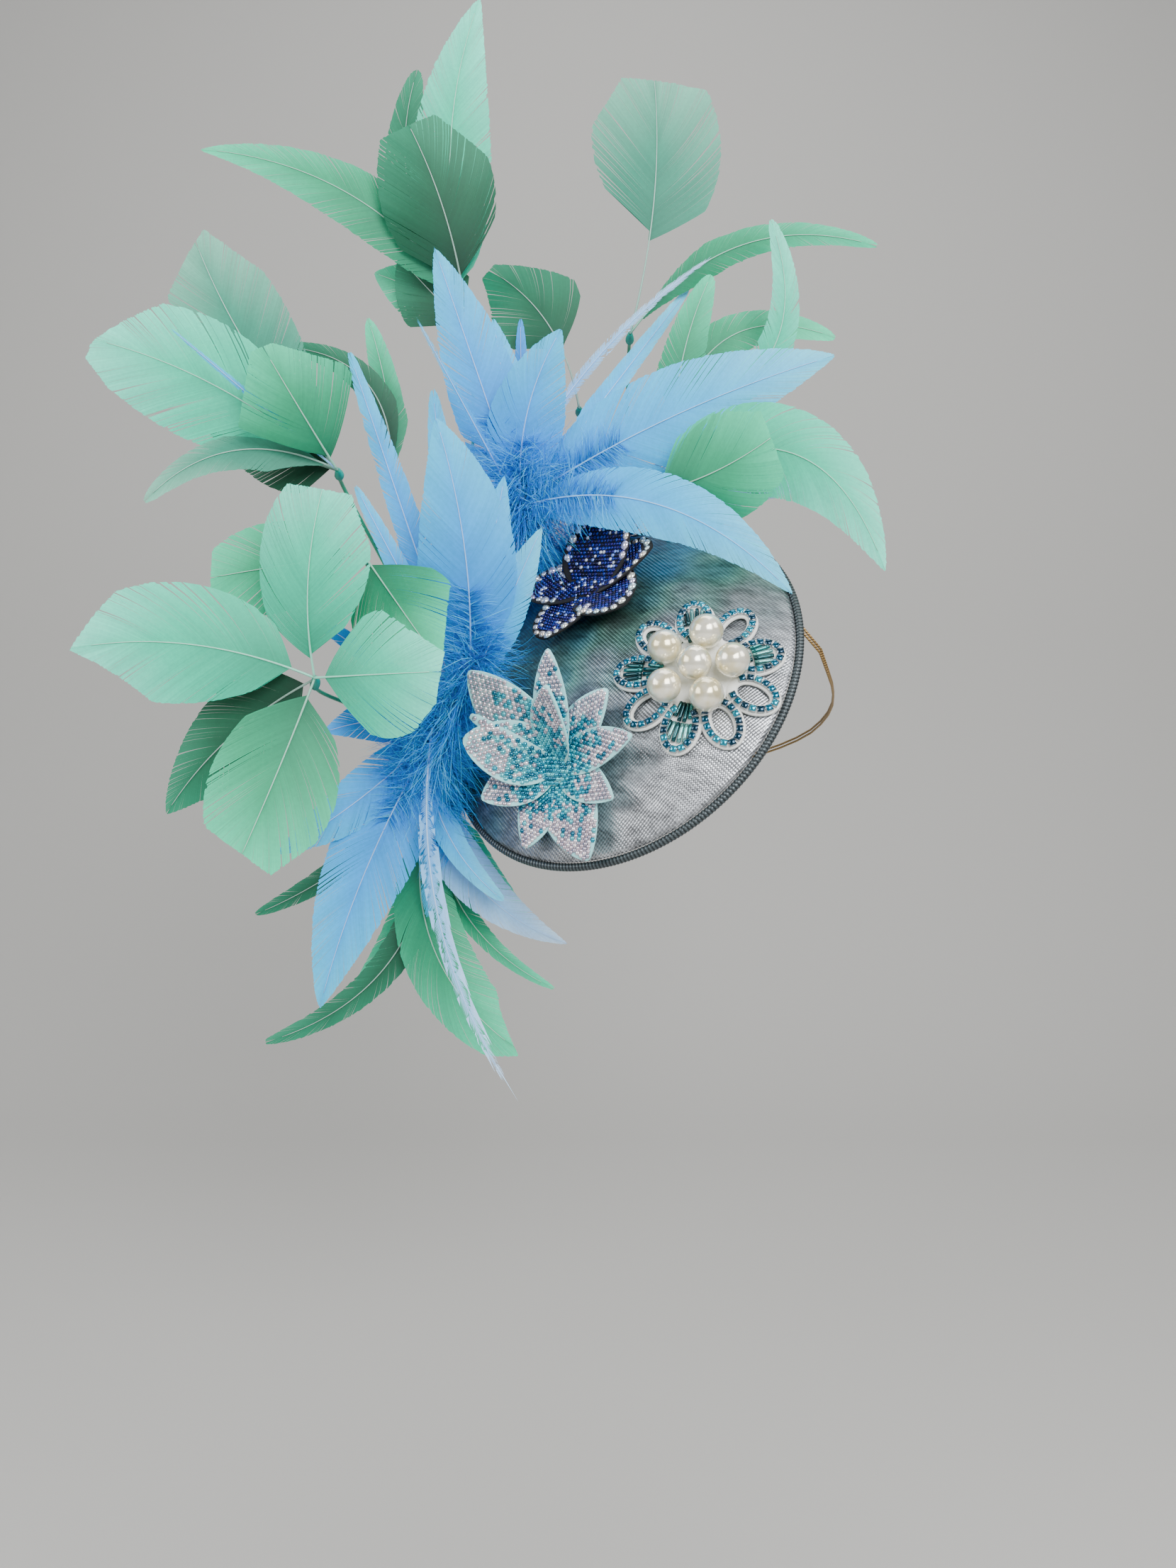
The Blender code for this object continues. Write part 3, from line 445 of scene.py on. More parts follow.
def silver_organza():
    """Metal-coated sheer cloth: satin metal gloss, crossing thread lines and slanting bands of painted
    sheen.
    """
    material = new_material("woven_silver_organza", "#787d82", 0.33, 0.8)
    place = add_node(material, "UVMap")
    weave = add_node(material, "TexNoise", in_Vector=place, in_Scale=900.0, in_Detail=3.0)
    for angle, scale in ((0.6, 1.0), (0.6 + math.pi / 2.0, 0.7)):
        turned = add_node(material, "Mapping", in_Vector=place, in_Rotation=(0.0, 0.0, angle))
        pitch = scale / THREAD_SPACING / 3.2
        threads = add_node(
            material, "TexWave", "Fac", in_Vector=turned, in_Scale=pitch, in_Distortion=0.6, in_Detail=1.0
        )
        weave = add_node(material, "Math", operation="ADD", in_0=weave, in_1=threads)
    thread_light = add_node(material, "MapRange", in_Value=weave, in_1=0.4, in_2=2.4, in_3=0.5, in_4=1.3)
    slant = add_node(
        material, "Mapping", in_Vector=place, in_Rotation=(0.0, 0.0, 0.9), in_Scale=(1.0, 2.6, 1.0)
    )
    folds = {"in_Scale": 105.0, "in_Detail": 8.0, "in_Roughness": 0.68, "in_Distortion": 0.5}
    crumple = add_node(material, "TexNoise", in_Vector=slant, **folds)
    limits = {"in_1": 0.36, "in_2": 0.66, "in_3": 0.58, "in_4": 1.55}
    # Painted sheen and shade: the colour is made lighter and darker in slanting bands, as light on folds
    painted_fold_sheen = add_node(material, "MapRange", in_Value=crumple, **limits)
    light = add_node(material, "Math", operation="MULTIPLY", in_0=thread_light, in_1=painted_fold_sheen)
    link_to_shader(material, Base_Color=tinted(material, light))
    link_bump(material, weave, 0.5, 0.15 * MM)
    return material


def make_saucer():
    """Rings on the sphere's outside from the middle to the edge, then back on its inside."""
    share = np.linspace(0.0, 1.0, SAUCER_RINGS + 1)[1:]
    slope = np.concatenate([share, share[::-1]]) * SLOPE_AT_EDGE
    wall = np.repeat([BASE_WALL, 0.0], SAUCER_RINGS)[:, None]
    out = round_rings(np.sin(slope), np.cos(slope), full_turn(SAUCER_STEPS))
    right, up = out[..., 0] * SPHERE_RADIUS, out[..., 1] * SPHERE_RADIUS
    girth = SPHERE_RADIUS + wall + np.where(wall > 0.0, dents(right, up), 0.0)
    points = out * girth[..., None] - UPWARDS * SPHERE_RADIUS
    flat = np.concatenate([points.reshape(-1, 3), [UPWARDS * BASE_WALL, UPWARDS * 0.0]])
    shape = closed_rings(points @ BASE_AXES.T, AXIS_OUT * BASE_WALL, AXIS_OUT * 0.0)
    # The cloth's colour carries painted reflections of the feathers and painted shade
    tint = painted_reflection_and_shade(flat[:, 0], flat[:, 1])
    cloth = silver_organza()
    add_piece("organza_saucer", shape, cloth, ["base_saucer"], uv=flat[:, :2], tint=tint)


make_saucer()

# %% [markdown]
# A bias strip of the same cloth is folded over a wire round the edge and stitched down. Its threads
# run aslant, which shows as fine ribs, so the ring's own thickness is a wave that winds round it.

# %% Bound edge
RIB_PITCH = 1.5 * MM
RIB_DEPTH = 0.09
EDGE_SIDES = 10
EDGE_STEPS = 1360
PAINTED_GROOVE_SHADE_TO_RIB = ("#1c2225", "#586266")


def bias_binding():
    """Folded bias strip of grey metallic cloth: half satin, with painted shade darkening the grooves."""
    material = new_material("folded_bias_binding", "#5c686c", 0.38, 0.55)
    link_to_shader(material, Base_Color=tinted(material))
    link_bump(material, grain_in(material, 1400.0, 2.0), 0.3, 0.1 * MM)
    return material


def make_bound_edge():
    """A ring of round sections whose radius is waved along the ring and slants round it."""
    turn = full_turn(EDGE_STEPS)[:, None]
    round_it = full_turn(EDGE_SIDES)[None]
    ribs = round(2.0 * math.pi * EDGE_RING_RADIUS / RIB_PITCH)
    wave = np.cos(ribs * turn + round_it)
    girth = EDGE_RADIUS * (1.0 + RIB_DEPTH * wave)
    reach = EDGE_RING_RADIUS + girth * np.cos(round_it)
    height = EDGE_RING_HEIGHT + girth * np.sin(round_it)
    points = np.stack([reach * np.cos(turn), reach * np.sin(turn), height], axis=-1) @ BASE_AXES.T
    shape = turned_out(points.reshape(-1, 3), [grid_quads(EDGE_STEPS, EDGE_SIDES, True, True)])
    # Painted shade: the colour darkens in the grooves between the ribs and is lighter on their crests
    tint = at_share((-1.0, 1.0), colours(PAINTED_GROOVE_SHADE_TO_RIB), wave.ravel())
    add_piece("ribbed_binding", shape, bias_binding(), ["bound_edge"], tint=tint)


make_bound_edge()

# %% [markdown]
# Dyed goose feathers do most of the work here. A feather is a quill with flat barbs on both sides,
# and its edge looks ragged because the barbs part in clumps. Hair curves could give that, but plain
# strips can be shaped as one array: every barb is a curve from the quill to the vane's outline, and
# each strip spans two neighbouring curves. The rows below give each feather's place and its dye.

# %% Feather sizes and rows
GREEN_LENGTH = 100.0 * MM
GREEN_WIDTH = 48.0 * MM
BLUE_LENGTH = 125.0 * MM
BLUE_WIDTH = 40.0 * MM
FULL_VANES = {"green": (GREEN_LENGTH, GREEN_WIDTH), "blue": (BLUE_LENGTH, BLUE_WIDTH)}
VANE_CUP = 0.12
STEM_RADIUS = 0.9 * MM
STEM_OUT = 0.18
STEM_BEHIND = 0.26
STEM_BELOW = 0.08

# A spray's hub holds shares of the outer base radius to the right, away and up; its foot is at an
# angle round the edge, or at a share of the base radius on the cloth where reach is under 1.
Spray = namedtuple("Spray", "name colour hub angle reach", defaults=(1.0,))
SPRAYS = (
    Spray("blue_plume_top", "blue", (-0.35, 0.49, 0.84), 146),
    Spray("blue_plume_low", "blue", (-0.76, 0.19, -0.34), 206),
    Spray("green_spray_left_low", "green", (-1.30, -0.12, -0.09), 193),
    Spray("green_spray_left_mid", "green", (-1.09, 0.02, 0.51), 184),
    Spray("green_spray_left_high", "green", (-1.24, 0.18, 0.94), 174),
    Spray("green_spray_inner", "green", (-1.04, 0.58, 1.00), 166),
    Spray("green_spray_top", "green", (-0.67, 0.79, 1.96), 156),
    Spray("green_leaf_single", "green", (-0.05, 0.76, 1.38), 124),
    Spray("green_spray_tall", "green", (0.23, 0.91, 1.82), 108),
    Spray("green_spray_right_back", "green", (0.46, 0.73, 1.29), 90),
    Spray("green_spray_right_front", "green", (0.27, 0.20, 0.82), 87, 0.9),
    Spray("green_spray_bottom", "green", (-0.82, 0.44, -0.66), 224),
)

# Length and width are shares of the colour's full vane. Heading counts clockwise from straight up,
# lean is towards the front, both in degrees. Bow and arch bend the quill by shares of its length.
# Dye names a colour, open tells how far the barbs stand apart, and split is where a clump parts:
# right of the quill if positive. Root is in millimetres, roll and twist turn the face in degrees.
FEATHER_FIELDS = "kind length width heading lean bow arch dye open split root roll twist"
Feather = namedtuple("Feather", FEATHER_FIELDS, defaults=(0.0, (0, 0, 0), 0, 0))
FEATHERS = {
    "blue_plume_top": (
        Feather("lance", 0.87, 0.75, 341, 3, 0.00, 0.03, "sky", 0.15, 0.60),
        Feather("lance", 0.68, 0.60, 351, -11, 0.00, 0.02, "sky", 0.05, 0.00, (0, 4, 0)),
        Feather("lance", 0.56, 0.80, 15, 14, -0.08, 0.02, "sky", 0.05, -0.50, (0, -3, 0)),
        Feather("blade", 0.66, 0.25, 359, -15, 0.00, 0.00, "royal", 0.30, 0.00, (0, 3, 4)),
        Feather("blade", 0.64, 0.10, 331, 13, 0.00, 0.03, "sky", 0.70, 0.00, (-3, -3, 1)),
        Feather("blade", 0.98, 0.14, 42, -4, -0.06, 0.00, "ice", 0.60, 0.00, (0, 0, 14)),
        Feather("blade", 0.98, 0.30, 36, -14, 0.00, 0.00, "pale", 0.10, 0.50, (4, 5, 4)),
        Feather("lance", 1.13, 1.02, 67, 9, -0.03, 0.04, "pale", 0.05, 0.55),
        Feather("blade", 1.10, 0.10, 79, -1, 0.00, 0.00, "ice", 0.50, 0.00, (0, 2, 0)),
        Feather("lance", 1.00, 0.56, 88, -2, 0.00, 0.02, "ice", 0.05, 0.00, (0, 3, 3)),
        Feather("lance", 1.00, 0.66, 111, 24, -0.13, 0.05, "pale", 0.05, -0.60, (0, -4, -3)),
    ),
    "blue_plume_low": (
        Feather("blade", 1.15, 0.38, 341, -5, 0.00, 0.02, "sky", 0.20, 0.00, (10, 0, 20)),
        Feather("blade", 1.03, 0.45, 353, -13, 0.00, 0.02, "sky", 0.10, 0.00, (11, 0, 20)),
        Feather("blade", 0.74, 0.32, 332, -4, 0.00, 0.02, "sky", 0.30, 0.00, (10, -1, 18)),
        Feather("lance", 0.80, 0.98, 354, 11, 0.05, 0.05, "sky", 0.02, 0.00, (14, -6, 22)),
        Feather("lance", 0.66, 0.50, 10, 0, 0.00, 0.02, "sky", 0.10, 0.50, (14, -2, 21)),
        Feather("lance", 0.55, 0.44, 25, 8, 0.00, 0.02, "pale", 0.10, 0.00, (15, -6, 18)),
        Feather("lance", 0.36, 0.46, 266, 26, 0.07, 0.02, "royal", 0.10, 0.00, (-2, 0, 2)),
        Feather("blade", 0.34, 0.32, 293, 10, 0.00, 0.02, "royal", 0.05, 0.00, (-2, -1, 4)),
        Feather("blade", 0.55, 0.30, 310, 4, 0.05, 0.02, "royal", 0.05, 0.00, (-1, 1, 3)),
        Feather("lance", 0.66, 0.55, 232, 8, -0.04, 0.03, "sky", 0.20, 0.40),
        Feather("lance", 1.00, 0.88, 203, 4, 0.03, 0.06, "sky", 0.10, -0.50, (0, 2, 0)),
        Feather("blade", 0.64, 0.38, 184, -3, 0.00, 0.02, "sky", 0.50, 0.00, (0, 3, 0)),
        Feather("blade", 1.15, 0.22, 167, 14, 0.09, 0.00, "ice", 1.00, 0.00, (-1, -7, 1)),
        Feather("blade", 0.50, 0.36, 150, 4, 0.10, 0.02, "pale", 0.15, 0.00, (-4, 2, -17)),
        Feather("lance", 0.76, 0.52, 142, -8, 0.14, 0.02, "ice", 0.05, 0.60, (-5, 4, -19)),
    ),
    "green_spray_left_low": (
        Feather("pad", 0.97, 0.96, 276, 4, 0.08, 0.05, "mint", 0.02, -0.70),
        Feather("pad", 0.82, 0.96, 8, 12, -0.05, 0.06, "mint", 0.02, 0.80, (0, 0, 0), -15),
        Feather("pad", 0.62, 1.00, 88, 26, 0.00, 0.04, "mint", 0.03, -0.35, (0, -1, 0)),
        Feather("pad", 0.84, 1.02, 200, 16, -0.02, 0.05, "green", 0.02, 0.60),
        Feather("lance", 0.86, 0.70, 230, -9, 0.06, 0.02, "deep", 0.05, 0.00, (0, 3, 0)),
    ),
    "green_spray_left_mid": (
        Feather("pad", 0.69, 0.75, 262, -6, 0.00, 0.04, "green", 0.02),
        Feather("pad", 0.60, 0.88, 143, 24, 0.00, 0.03, "green", 0.02, 0.60),
    ),
    "green_spray_left_high": (
        Feather("pad", 1.40, 0.96, 328, -16, -0.04, 0.03, "grey", 0.02, 0.00, (0, 0, 0), 15),
        Feather("pad", 1.22, 1.00, 297, -3, 0.06, 0.05, "mint", 0.02, 0.70),
        Feather("pad", 0.54, 1.02, 331, 22, 0.00, 0.05, "green", 0.02, 0.00, (0, -2, 0)),
        Feather("blade", 0.78, 0.45, 260, 4, 0.17, 0.04, "grey", 0.05, 0.00, (0, 0, 0), 20),
        Feather("lance", 0.68, 0.62, 290, -20, 0.00, 0.00, "deep", 0.05, 0.00, (0, 2, 0)),
        Feather("blade", 0.80, 0.07, 310, 12, 0.00, 0.00, "sky", 0.50, 0.00, (0, -2, 0)),
    ),
    "green_spray_inner": (
        Feather("blade", 0.70, 0.36, 350, -8, 0.04, 0.02, "green", 0.10, 0.00, (1, 0, 0)),
        Feather("blade", 0.72, 0.34, 318, 0, 0.25, 0.02, "deep", 0.05),
    ),
    "green_spray_top": (
        Feather("lance", 1.32, 0.74, 3, -3, -0.07, 0.02, "mint", 0.05, 0.70),
        Feather("pad", 0.80, 1.05, 341, 13, 0.05, 0.06, "deep", 0.02, 0.00, (0, -1, 0)),
        Feather("blade", 1.22, 0.62, 348, -15, -0.12, 0.00, "deep", 0.05, 0.00, (0, 2, 0)),
        Feather("lance", 1.27, 0.54, 298, 5, 0.11, 0.03, "green", 0.10, -0.50, (0, 0, 0), 0, 15),
        Feather("lance", 0.46, 0.72, 318, -10, 0.00, 0.02, "deep", 0.05, 0.00, (0, 1, -12)),
        Feather("lance", 0.50, 0.58, 296, -18, 0.00, 0.02, "green", 0.05, 0.00, (0, 2, -3)),
    ),
    "green_leaf_single": (
        Feather("fan", 0.84, 0.92, 327, -14, 0.11, 0.04, "deep", 0.02),
    ),
    "green_spray_tall": (
        Feather("fan", 1.28, 1.20, 4, -3, 0.05, 0.05, "grey", 0.02, 0.60),
        Feather("blade", 1.13, 0.34, 73, 8, -0.17, 0.02, "green", 0.10, 0.00, (0, 0, 0), 10),
    ),
    "green_spray_right_back": (
        Feather("blade", 0.88, 0.50, 60, -12, -0.25, 0.02, "green", 0.10, 0.00, (0, 1, 0)),
        Feather("blade", 0.92, 0.42, 26, 9, 0.27, 0.02, "mint", 0.15),
        Feather("blade", 0.66, 0.50, 14, 0, -0.05, 0.02, "green", 0.10),
        Feather("blade", 0.60, 0.50, 30, -24, 0.00, 0.02, "deep", 0.05, 0.00, (0, 2, 0)),
    ),
    "green_spray_right_front": (
        Feather("pad", 0.64, 0.86, 67, 20, 0.07, 0.04, "green", 0.03, 0.60),
        Feather("lance", 1.02, 0.76, 108, 6, -0.32, 0.03, "mint", 0.08, 0.50, (0, 0, 0), 0, 10),
    ),
    "green_spray_bottom": (
        Feather("blade", 0.75, 0.30, 145, 0, 0.03, 0.00, "mint", 0.10, 0.00, (1, 0, 0)),
        Feather("blade", 1.02, 0.26, 150, -4, 0.16, 0.00, "green", 0.10, 0.00, (1, 0, -1)),
        Feather("pad", 1.28, 0.62, 158, 5, 0.19, 0.03, "green", 0.03, 0.60),
        Feather("blade", 1.38, 0.40, 214, -4, -0.19, 0.03, "deep", 0.10, 0.00, (0, 0, 0), 10),
        Feather("blade", 1.06, 0.38, 203, -14, -0.08, 0.00, "green", 0.10, 0.00, (0, 2, 0)),
        Feather("blade", 1.05, 0.32, 235, -12, -0.05, 0.02, "deep", 0.15, 0.00, (0, 2, 0)),
    ),
}

# Dyes from the foot of a feather to its tip
DYES = {
    "mint": ("#008e6c", "#02d0a6", "#70f8da"),
    "green": ("#006244", "#00a070", "#30e0ac"),
    "deep": ("#003220", "#005c3e", "#12906a"),
    "grey": ("#085e48", "#248c72", "#78c4aa"),
    "sky": ("#0074d4", "#00a6f8", "#30ceff"),
    "pale": ("#0090e6", "#12bcff", "#66dcff"),
    "ice": ("#449cee", "#84c8fe", "#c0e0ff"),
    "royal": ("#004ea8", "#007ad8", "#00a0f2"),
}
PADS = ("pad", "fan")
BARE_QUILL = {"pad": 0.09, "fan": 0.31, "lance": 0.06, "blade": 0.06}
BARB_PITCH = 0.8 * MM
BARB_STEPS = 6
FEWEST_BARBS = 12
SPINE_STEPS = 40
BARB_ANGLES = (58.0, 27.0, 3.0)
BARB_WOBBLE = 3.0
BARB_BEND = 0.45
SPLIT_TURN = 13.0
CUT_TILTS = (-50.0, 4.0, 52.0)
CUT_SWING = 9.0
RUN_STEPS = 200
LAST_BARB = {"pad": 0.87, "fan": 0.87, "lance": 0.97, "blade": 0.97}
QUILL_END = {"pad": 0.88, "fan": 0.88, "lance": 0.96, "blade": 0.96}
QUILL_SIDES = 6
QUILL_FRONT = 0.22 * MM
QUILL_GIRTHS = (0.52 * MM, 0.32 * MM, 0.10 * MM)
NARROW_VANE = 8.0 * MM
PALE_QUILLS = {"green": "#d8f4ea", "blue": "#d5e8ff"}
GREEN_DYES = ("mint", "green", "deep", "grey")

# How often barbs part, how far, and how ragged their ends are: for a closed feather, and what one
# that is fully open has more of it
PARTINGS = (0.025, 0.5)
GAPS = (0.0008, 0.012)
RAGGED = (0.05, 0.2)
WIDE_CHANCE = 0.12
WIDE_GAP = 4.0
WISPY_FROM = 0.45
THINNED = 0.8
RIPPLE_DEPTH = 0.02
RIPPLES = 9.0
STRIP_TILT = 0.06 * MM
TONE_ALONG = 0.85
TONE_OUT = 0.22
BARB_LIGHT = 0.035
CLUMP_LIGHT = 0.04
# Painted shade: the first edge of each strip a little lighter, its second, lifted edge a little darker
PAINTED_STRIP_EDGE_SHADE = np.array([1.015, 0.965])


# %% Feather shape
def vane_width(kind, along):
    """Share of the full width: a bare quill, then a round pad or fan, a lance or a blade."""
    bare = BARE_QUILL[kind]
    u = np.clip((along - bare) / (1.0 - bare), 0.0, 1.0)
    if kind in PADS:
        return np.sin(np.pi * u**1.02) ** 0.52
    if kind == "lance":
        return np.sin(np.pi * u**0.72) ** 0.80
    return np.minimum(1.0, 3.2 * u) * (1.0 - u) ** 0.45


def feather_spine(row, hub, family):
    """Quill line with its side and front directions; hump 4t(1-t) bends it sideways and forwards."""
    full_length, full_width = FULL_VANES[family]
    length, width = full_length * row.length, full_width * row.width
    heading, lean = math.radians(row.heading), math.radians(row.lean)
    level = math.cos(lean)
    ahead = np.array([math.sin(heading) * level, -math.sin(lean), math.cos(heading) * level])
    face = unit(np.array([0.0, -1.0, 0.0]) + ahead[1] * ahead)
    side = np.cross(ahead, face)
    along = np.linspace(0.0, 1.0, SPINE_STEPS)
    hump = 4.0 * along * (1.0 - along)
    bend = np.outer(along, ahead) + np.outer(row.bow * hump, side) + np.outer(row.arch * hump, face)
    spine = hub + np.array(row.root) * MM + bend * length
    tangent = unit(np.gradient(spine, axis=0))
    front = unit(face - (tangent @ face)[:, None] * tangent)
    side = np.cross(tangent, front)
    turn = np.radians(row.roll + row.twist * along)[:, None]
    front, side = front * np.cos(turn) + side * np.sin(turn), side * np.cos(turn) - front * np.sin(turn)
    return along, spine, side, front, length, width


def barb_curves(row, sign, half, length):
    """Barbs of one side as (along, off) in shares of the length.

    A barb leaves the quill at an angle that falls from foot to tip, bends towards the tip by the
    square of its run, and stops where the outline or one of three straight cuts across it is met.
    """
    bare = BARE_QUILL[row.kind]
    count = max(int(length * (1.0 - bare) / BARB_PITCH), FEWEST_BARBS)
    last = LAST_BARB[row.kind]
    start = np.linspace(bare, last, count + 1)
    wobble = np.convolve(DRAWS.normal(0.0, BARB_WOBBLE, count + 9), np.ones(9) / 9.0, "valid")
    angle = np.radians(np.interp(start, (bare, 0.8 * last, last), BARB_ANGLES) + wobble)
    if row.split * sign > 0.0:
        beyond = start - abs(row.split)
        angle -= np.radians(SPLIT_TURN) * np.clip(beyond / 0.02, 0.0, 1.0) * np.exp(-beyond * 3.0)
    run = np.linspace(0.0, 1.0, RUN_STEPS)
    along = start[:, None] + run * np.cos(angle)[:, None] + BARB_BEND * run**2
    off = run * np.sin(angle)[:, None]
    skew = 1.0 + 0.12 * sign * math.sin(row.heading)
    inside = off < half * vane_width(row.kind, np.minimum(along, 1.0) ** skew)
    inside &= along < 1.0
    if row.kind in PADS:
        for tilt in CUT_TILTS:
            beta = math.radians(tilt + CUT_SWING * math.sin(row.heading * 0.9 + tilt))
            far = 0.55 * math.cos(beta) + math.hypot(0.45 * math.cos(beta), half * math.sin(beta))
            kept = 0.92 + 0.05 * math.sin(row.heading * 1.7 + tilt)
            inside &= along * math.cos(beta) + sign * off * math.sin(beta) < far * kept
    reach = run[np.maximum(np.argmax(~inside, axis=1), 1)]
    share = np.linspace(0.0, 1.0, BARB_STEPS + 1)
    go = reach[:, None] * share
    along = start[:, None] + go * np.cos(angle)[:, None] + BARB_BEND * go**2
    return along, go * np.sin(angle)[:, None], share, count


def vane_side(row, sign, frames):
    """Strips between neighbouring barbs of one side, with their tints.

    Barbs part in clumps: each strip is pulled to the middle of its clump by a gap that grows with
    the square of its share of the barb's length.
    """
    along_table, spine, side, front, length, width = frames
    half = width / 2.0
    along, off, share, count = barb_curves(row, sign, half / length, length)
    clump = np.cumsum(DRAWS.random(count) < PARTINGS[0] + PARTINGS[1] * row.open)
    strips = np.arange(count)
    middle = np.array([strips[clump == k].mean() for k in clump])
    gap = DRAWS.exponential(GAPS[0] + GAPS[1] * row.open, count)
    gap = (gap * np.where(DRAWS.random(count) < WIDE_CHANCE, WIDE_GAP, 1.0))[clump % count]
    near = np.stack([strips - middle - 0.5, strips - middle + 0.5], axis=1)
    pull = -(near / np.bincount(clump)[clump][:, None]) * gap[:, None]
    a = np.stack([along[:-1], along[1:]], axis=1)
    o = np.stack([off[:-1], off[1:]], axis=1)
    if row.open > WISPY_FROM:
        thin = 1.0 - THINNED * row.open * share
        a[:, 1] = a[:, 0] + (a[:, 1] - a[:, 0]) * thin
        o[:, 1] = o[:, 0] + (o[:, 1] - o[:, 0]) * thin
    a = a + pull[:, :, None] * share**2
    ragged = DRAWS.random(count)[:, None, None] ** 8 * (RAGGED[0] + RAGGED[1] * row.open) * share
    off_m = o * (1.0 - ragged) * length
    place = np.clip(a, 0.0, 1.0)
    phase = row.heading * 0.1
    ripple = RIPPLE_DEPTH * width * np.sin(RIPPLES * place + phase)
    lift = ripple * (off_m / half) ** 2 - VANE_CUP * off_m**2 / half
    lift = lift + np.array([0.0, STRIP_TILT])[None, :, None] * share
    points = at_share(along_table, spine, place)
    points = points + at_share(along_table, side, place) * (sign * off_m)[..., None]
    points = points + at_share(along_table, front, place) * lift[..., None]
    points = points + unit(spine[-1] - spine[-2]) * ((a - place) * length)[..., None]
    faces = strip_quads(count, BARB_STEPS + 1)[:, :: -1 if sign > 0.0 else 1]
    tone = np.clip(TONE_ALONG * (place - 0.05) + TONE_OUT * share, 0.0, 1.0)
    tint = at_share((0.0, 0.5, 1.0), colours(DYES[row.dye]), tone)
    light = 1.0 + BARB_LIGHT * np.clip(DRAWS.normal(0.0, 1.0, count), -1.8, 1.8)
    light = light * (1.0 + CLUMP_LIGHT * np.sin(strips * 0.23 + phase * 3.0))
    # Painted shade on each strip's edges, as on shingled barbs
    tint = tint * light[:, None, None, None] * PAINTED_STRIP_EDGE_SHADE[None, :, None, None]
    return points.reshape(-1, 3), [faces], np.clip(tint.reshape(-1, 3), 0.0, 1.0)


def strip_quads(count, cols):
    """Faces of many strips, each of them two rows of points."""
    return ((np.arange(count) * 2 * cols)[:, None, None] + grid_quads(2, cols)[None]).reshape(-1, 4)


def quill(frames, row):
    """A tapered tube just in front of the vane, from the foot to near the tip."""
    along, spine, _, front, _, width = frames
    keep = along < QUILL_END[row.kind]
    along, front = along[keep], front[keep]
    girth = np.interp(along, (0.0, 0.3, 1.0), QUILL_GIRTHS) * (0.8 if width < NARROW_VANE else 1.0)
    shape = tube(spine[keep] + front * QUILL_FRONT, girth, QUILL_SIDES, front)
    pale = colours([PALE_QUILLS["green" if row.dye in GREEN_DYES else "blue"]])
    body = np.repeat(np.interp(along, (0.0, 1.0), (0.35, 0.60)), QUILL_SIDES)[:, None]
    tint = colours(DYES[row.dye])[1] * (1.0 - body) + pale * body
    return shape, np.concatenate([tint, tint[:1], tint[-1:]])


# %% [markdown]
# A dyed vane has a soft silky sheen and tiny barbules that can't be seen one by one. Its colour comes
# from the strips' own tints: deep dye at the foot, paler towards the tip, each barb a little
# lighter or darker than the next, and painted shade that darkens one edge of every strip.

# %% Feather materials
def dyed_vane(name, base):
    """Barbs of a dyed goose feather: rough, with sheen and a fine grain along each barb."""
    material = new_material(name, base, 0.62, 0.0, Sheen_Weight=0.12, Sheen_Roughness=0.45)
    grain = grain_in(material, 700.0, 3.0)
    mottle = add_node(material, "MapRange", in_Value=grain, in_3=0.86, in_4=1.12)
    link_to_shader(material, Base_Color=tinted(material, mottle))
    link_bump(material, grain, 0.2, 0.1 * MM)
    return material


def dyed_quill():
    """Horny quills and thread-bound stems take less dye and shine a little."""
    material = new_material("dyed_horn_quill", "#bfe8da", 0.38)
    link_to_shader(material, Base_Color=tinted(material))
    link_bump(material, grain_in(material, 900.0, 2.0), 0.2, 0.08 * MM)
    return material


GREEN_VANE = dyed_vane("dyed_goose_vane_green", "#3ab88d")
BLUE_VANE = dyed_vane("dyed_goose_vane_blue", "#469ff0")
QUILL = dyed_quill()

# %% [markdown]
# Green feathers are wired: thread binds each stem to the saucer's edge and each group at its hub.
# The thread is drawn as rings a little thicker and thinner by turns. Blue feathers start in a tuft of
# marabou, a down of loose thin hairs, which is a few thousand bent strips round the head.

# %% Stems, bindings and down
BINDING_LENGTH = 13.0 * MM
BINDING_RADIUS = 1.9 * MM
THREAD_TURNS = 18
STEM_HINT = np.array([0.3, 0.2, 1.0])
STEM_POINTS = 40
STEM_SIDES = 8
THREAD_SIDES = 12
STEM_DYE = "#2f9e78"
THREAD_DYE = "#14a592"
HAIR_STEPS = 6
HAIR_WIDTH = 0.42 * MM
HAIR_CURLS = (0.1, 0.6)
HAIR_WAVES = (4.0, 9.0)
HAIR_WAVE_DEPTH = 0.06
BLUE_HEAD_RADIUS = 8.0 * MM
DOWN_BLUES = ("#0084e8", "#10a8fc", "#50ccff", "#0098f4")
DOWN_SHARE = 0.34
DOWN_PER_MM = 9.0
HEAD_HAIRS = 1200
CROWN_HAIRS = 3000
EDGE_HAIRS = 56
STRAY_HAIRS = 60
HEAD_LENGTHS = (8.0, 28.0)
EDGE_LENGTHS = (9.0, 28.0)
STRAY_LENGTHS = (24.0, 44.0)
QUILL_LENGTHS = (9.0, 24.0)

# Where a plume's crown of down starts and ends, from its hub in shares of the outer base radius,
# and which degrees of the edge its down covers
CROWNS = {
    "blue_plume_top": ((0.00, 0.01, -0.10), (0.03, 0.08, 0.25)),
    "blue_plume_low": ((-0.10, 0.08, -0.38), (0.21, -0.08, 0.37)),
}
EDGE_DOWN = {"blue_plume_top": (104.0, 168.0), "blue_plume_low": (168.0, 226.0)}


def on_edge(angle, outwards, upwards):
    """A place by the bound edge, offset from the middle of its binding."""
    turn = np.array([math.radians(angle)])
    ring = round_rings([EDGE_RING_RADIUS + outwards], [EDGE_RING_HEIGHT + upwards], turn)
    return BASE_AXES @ ring[0, 0]


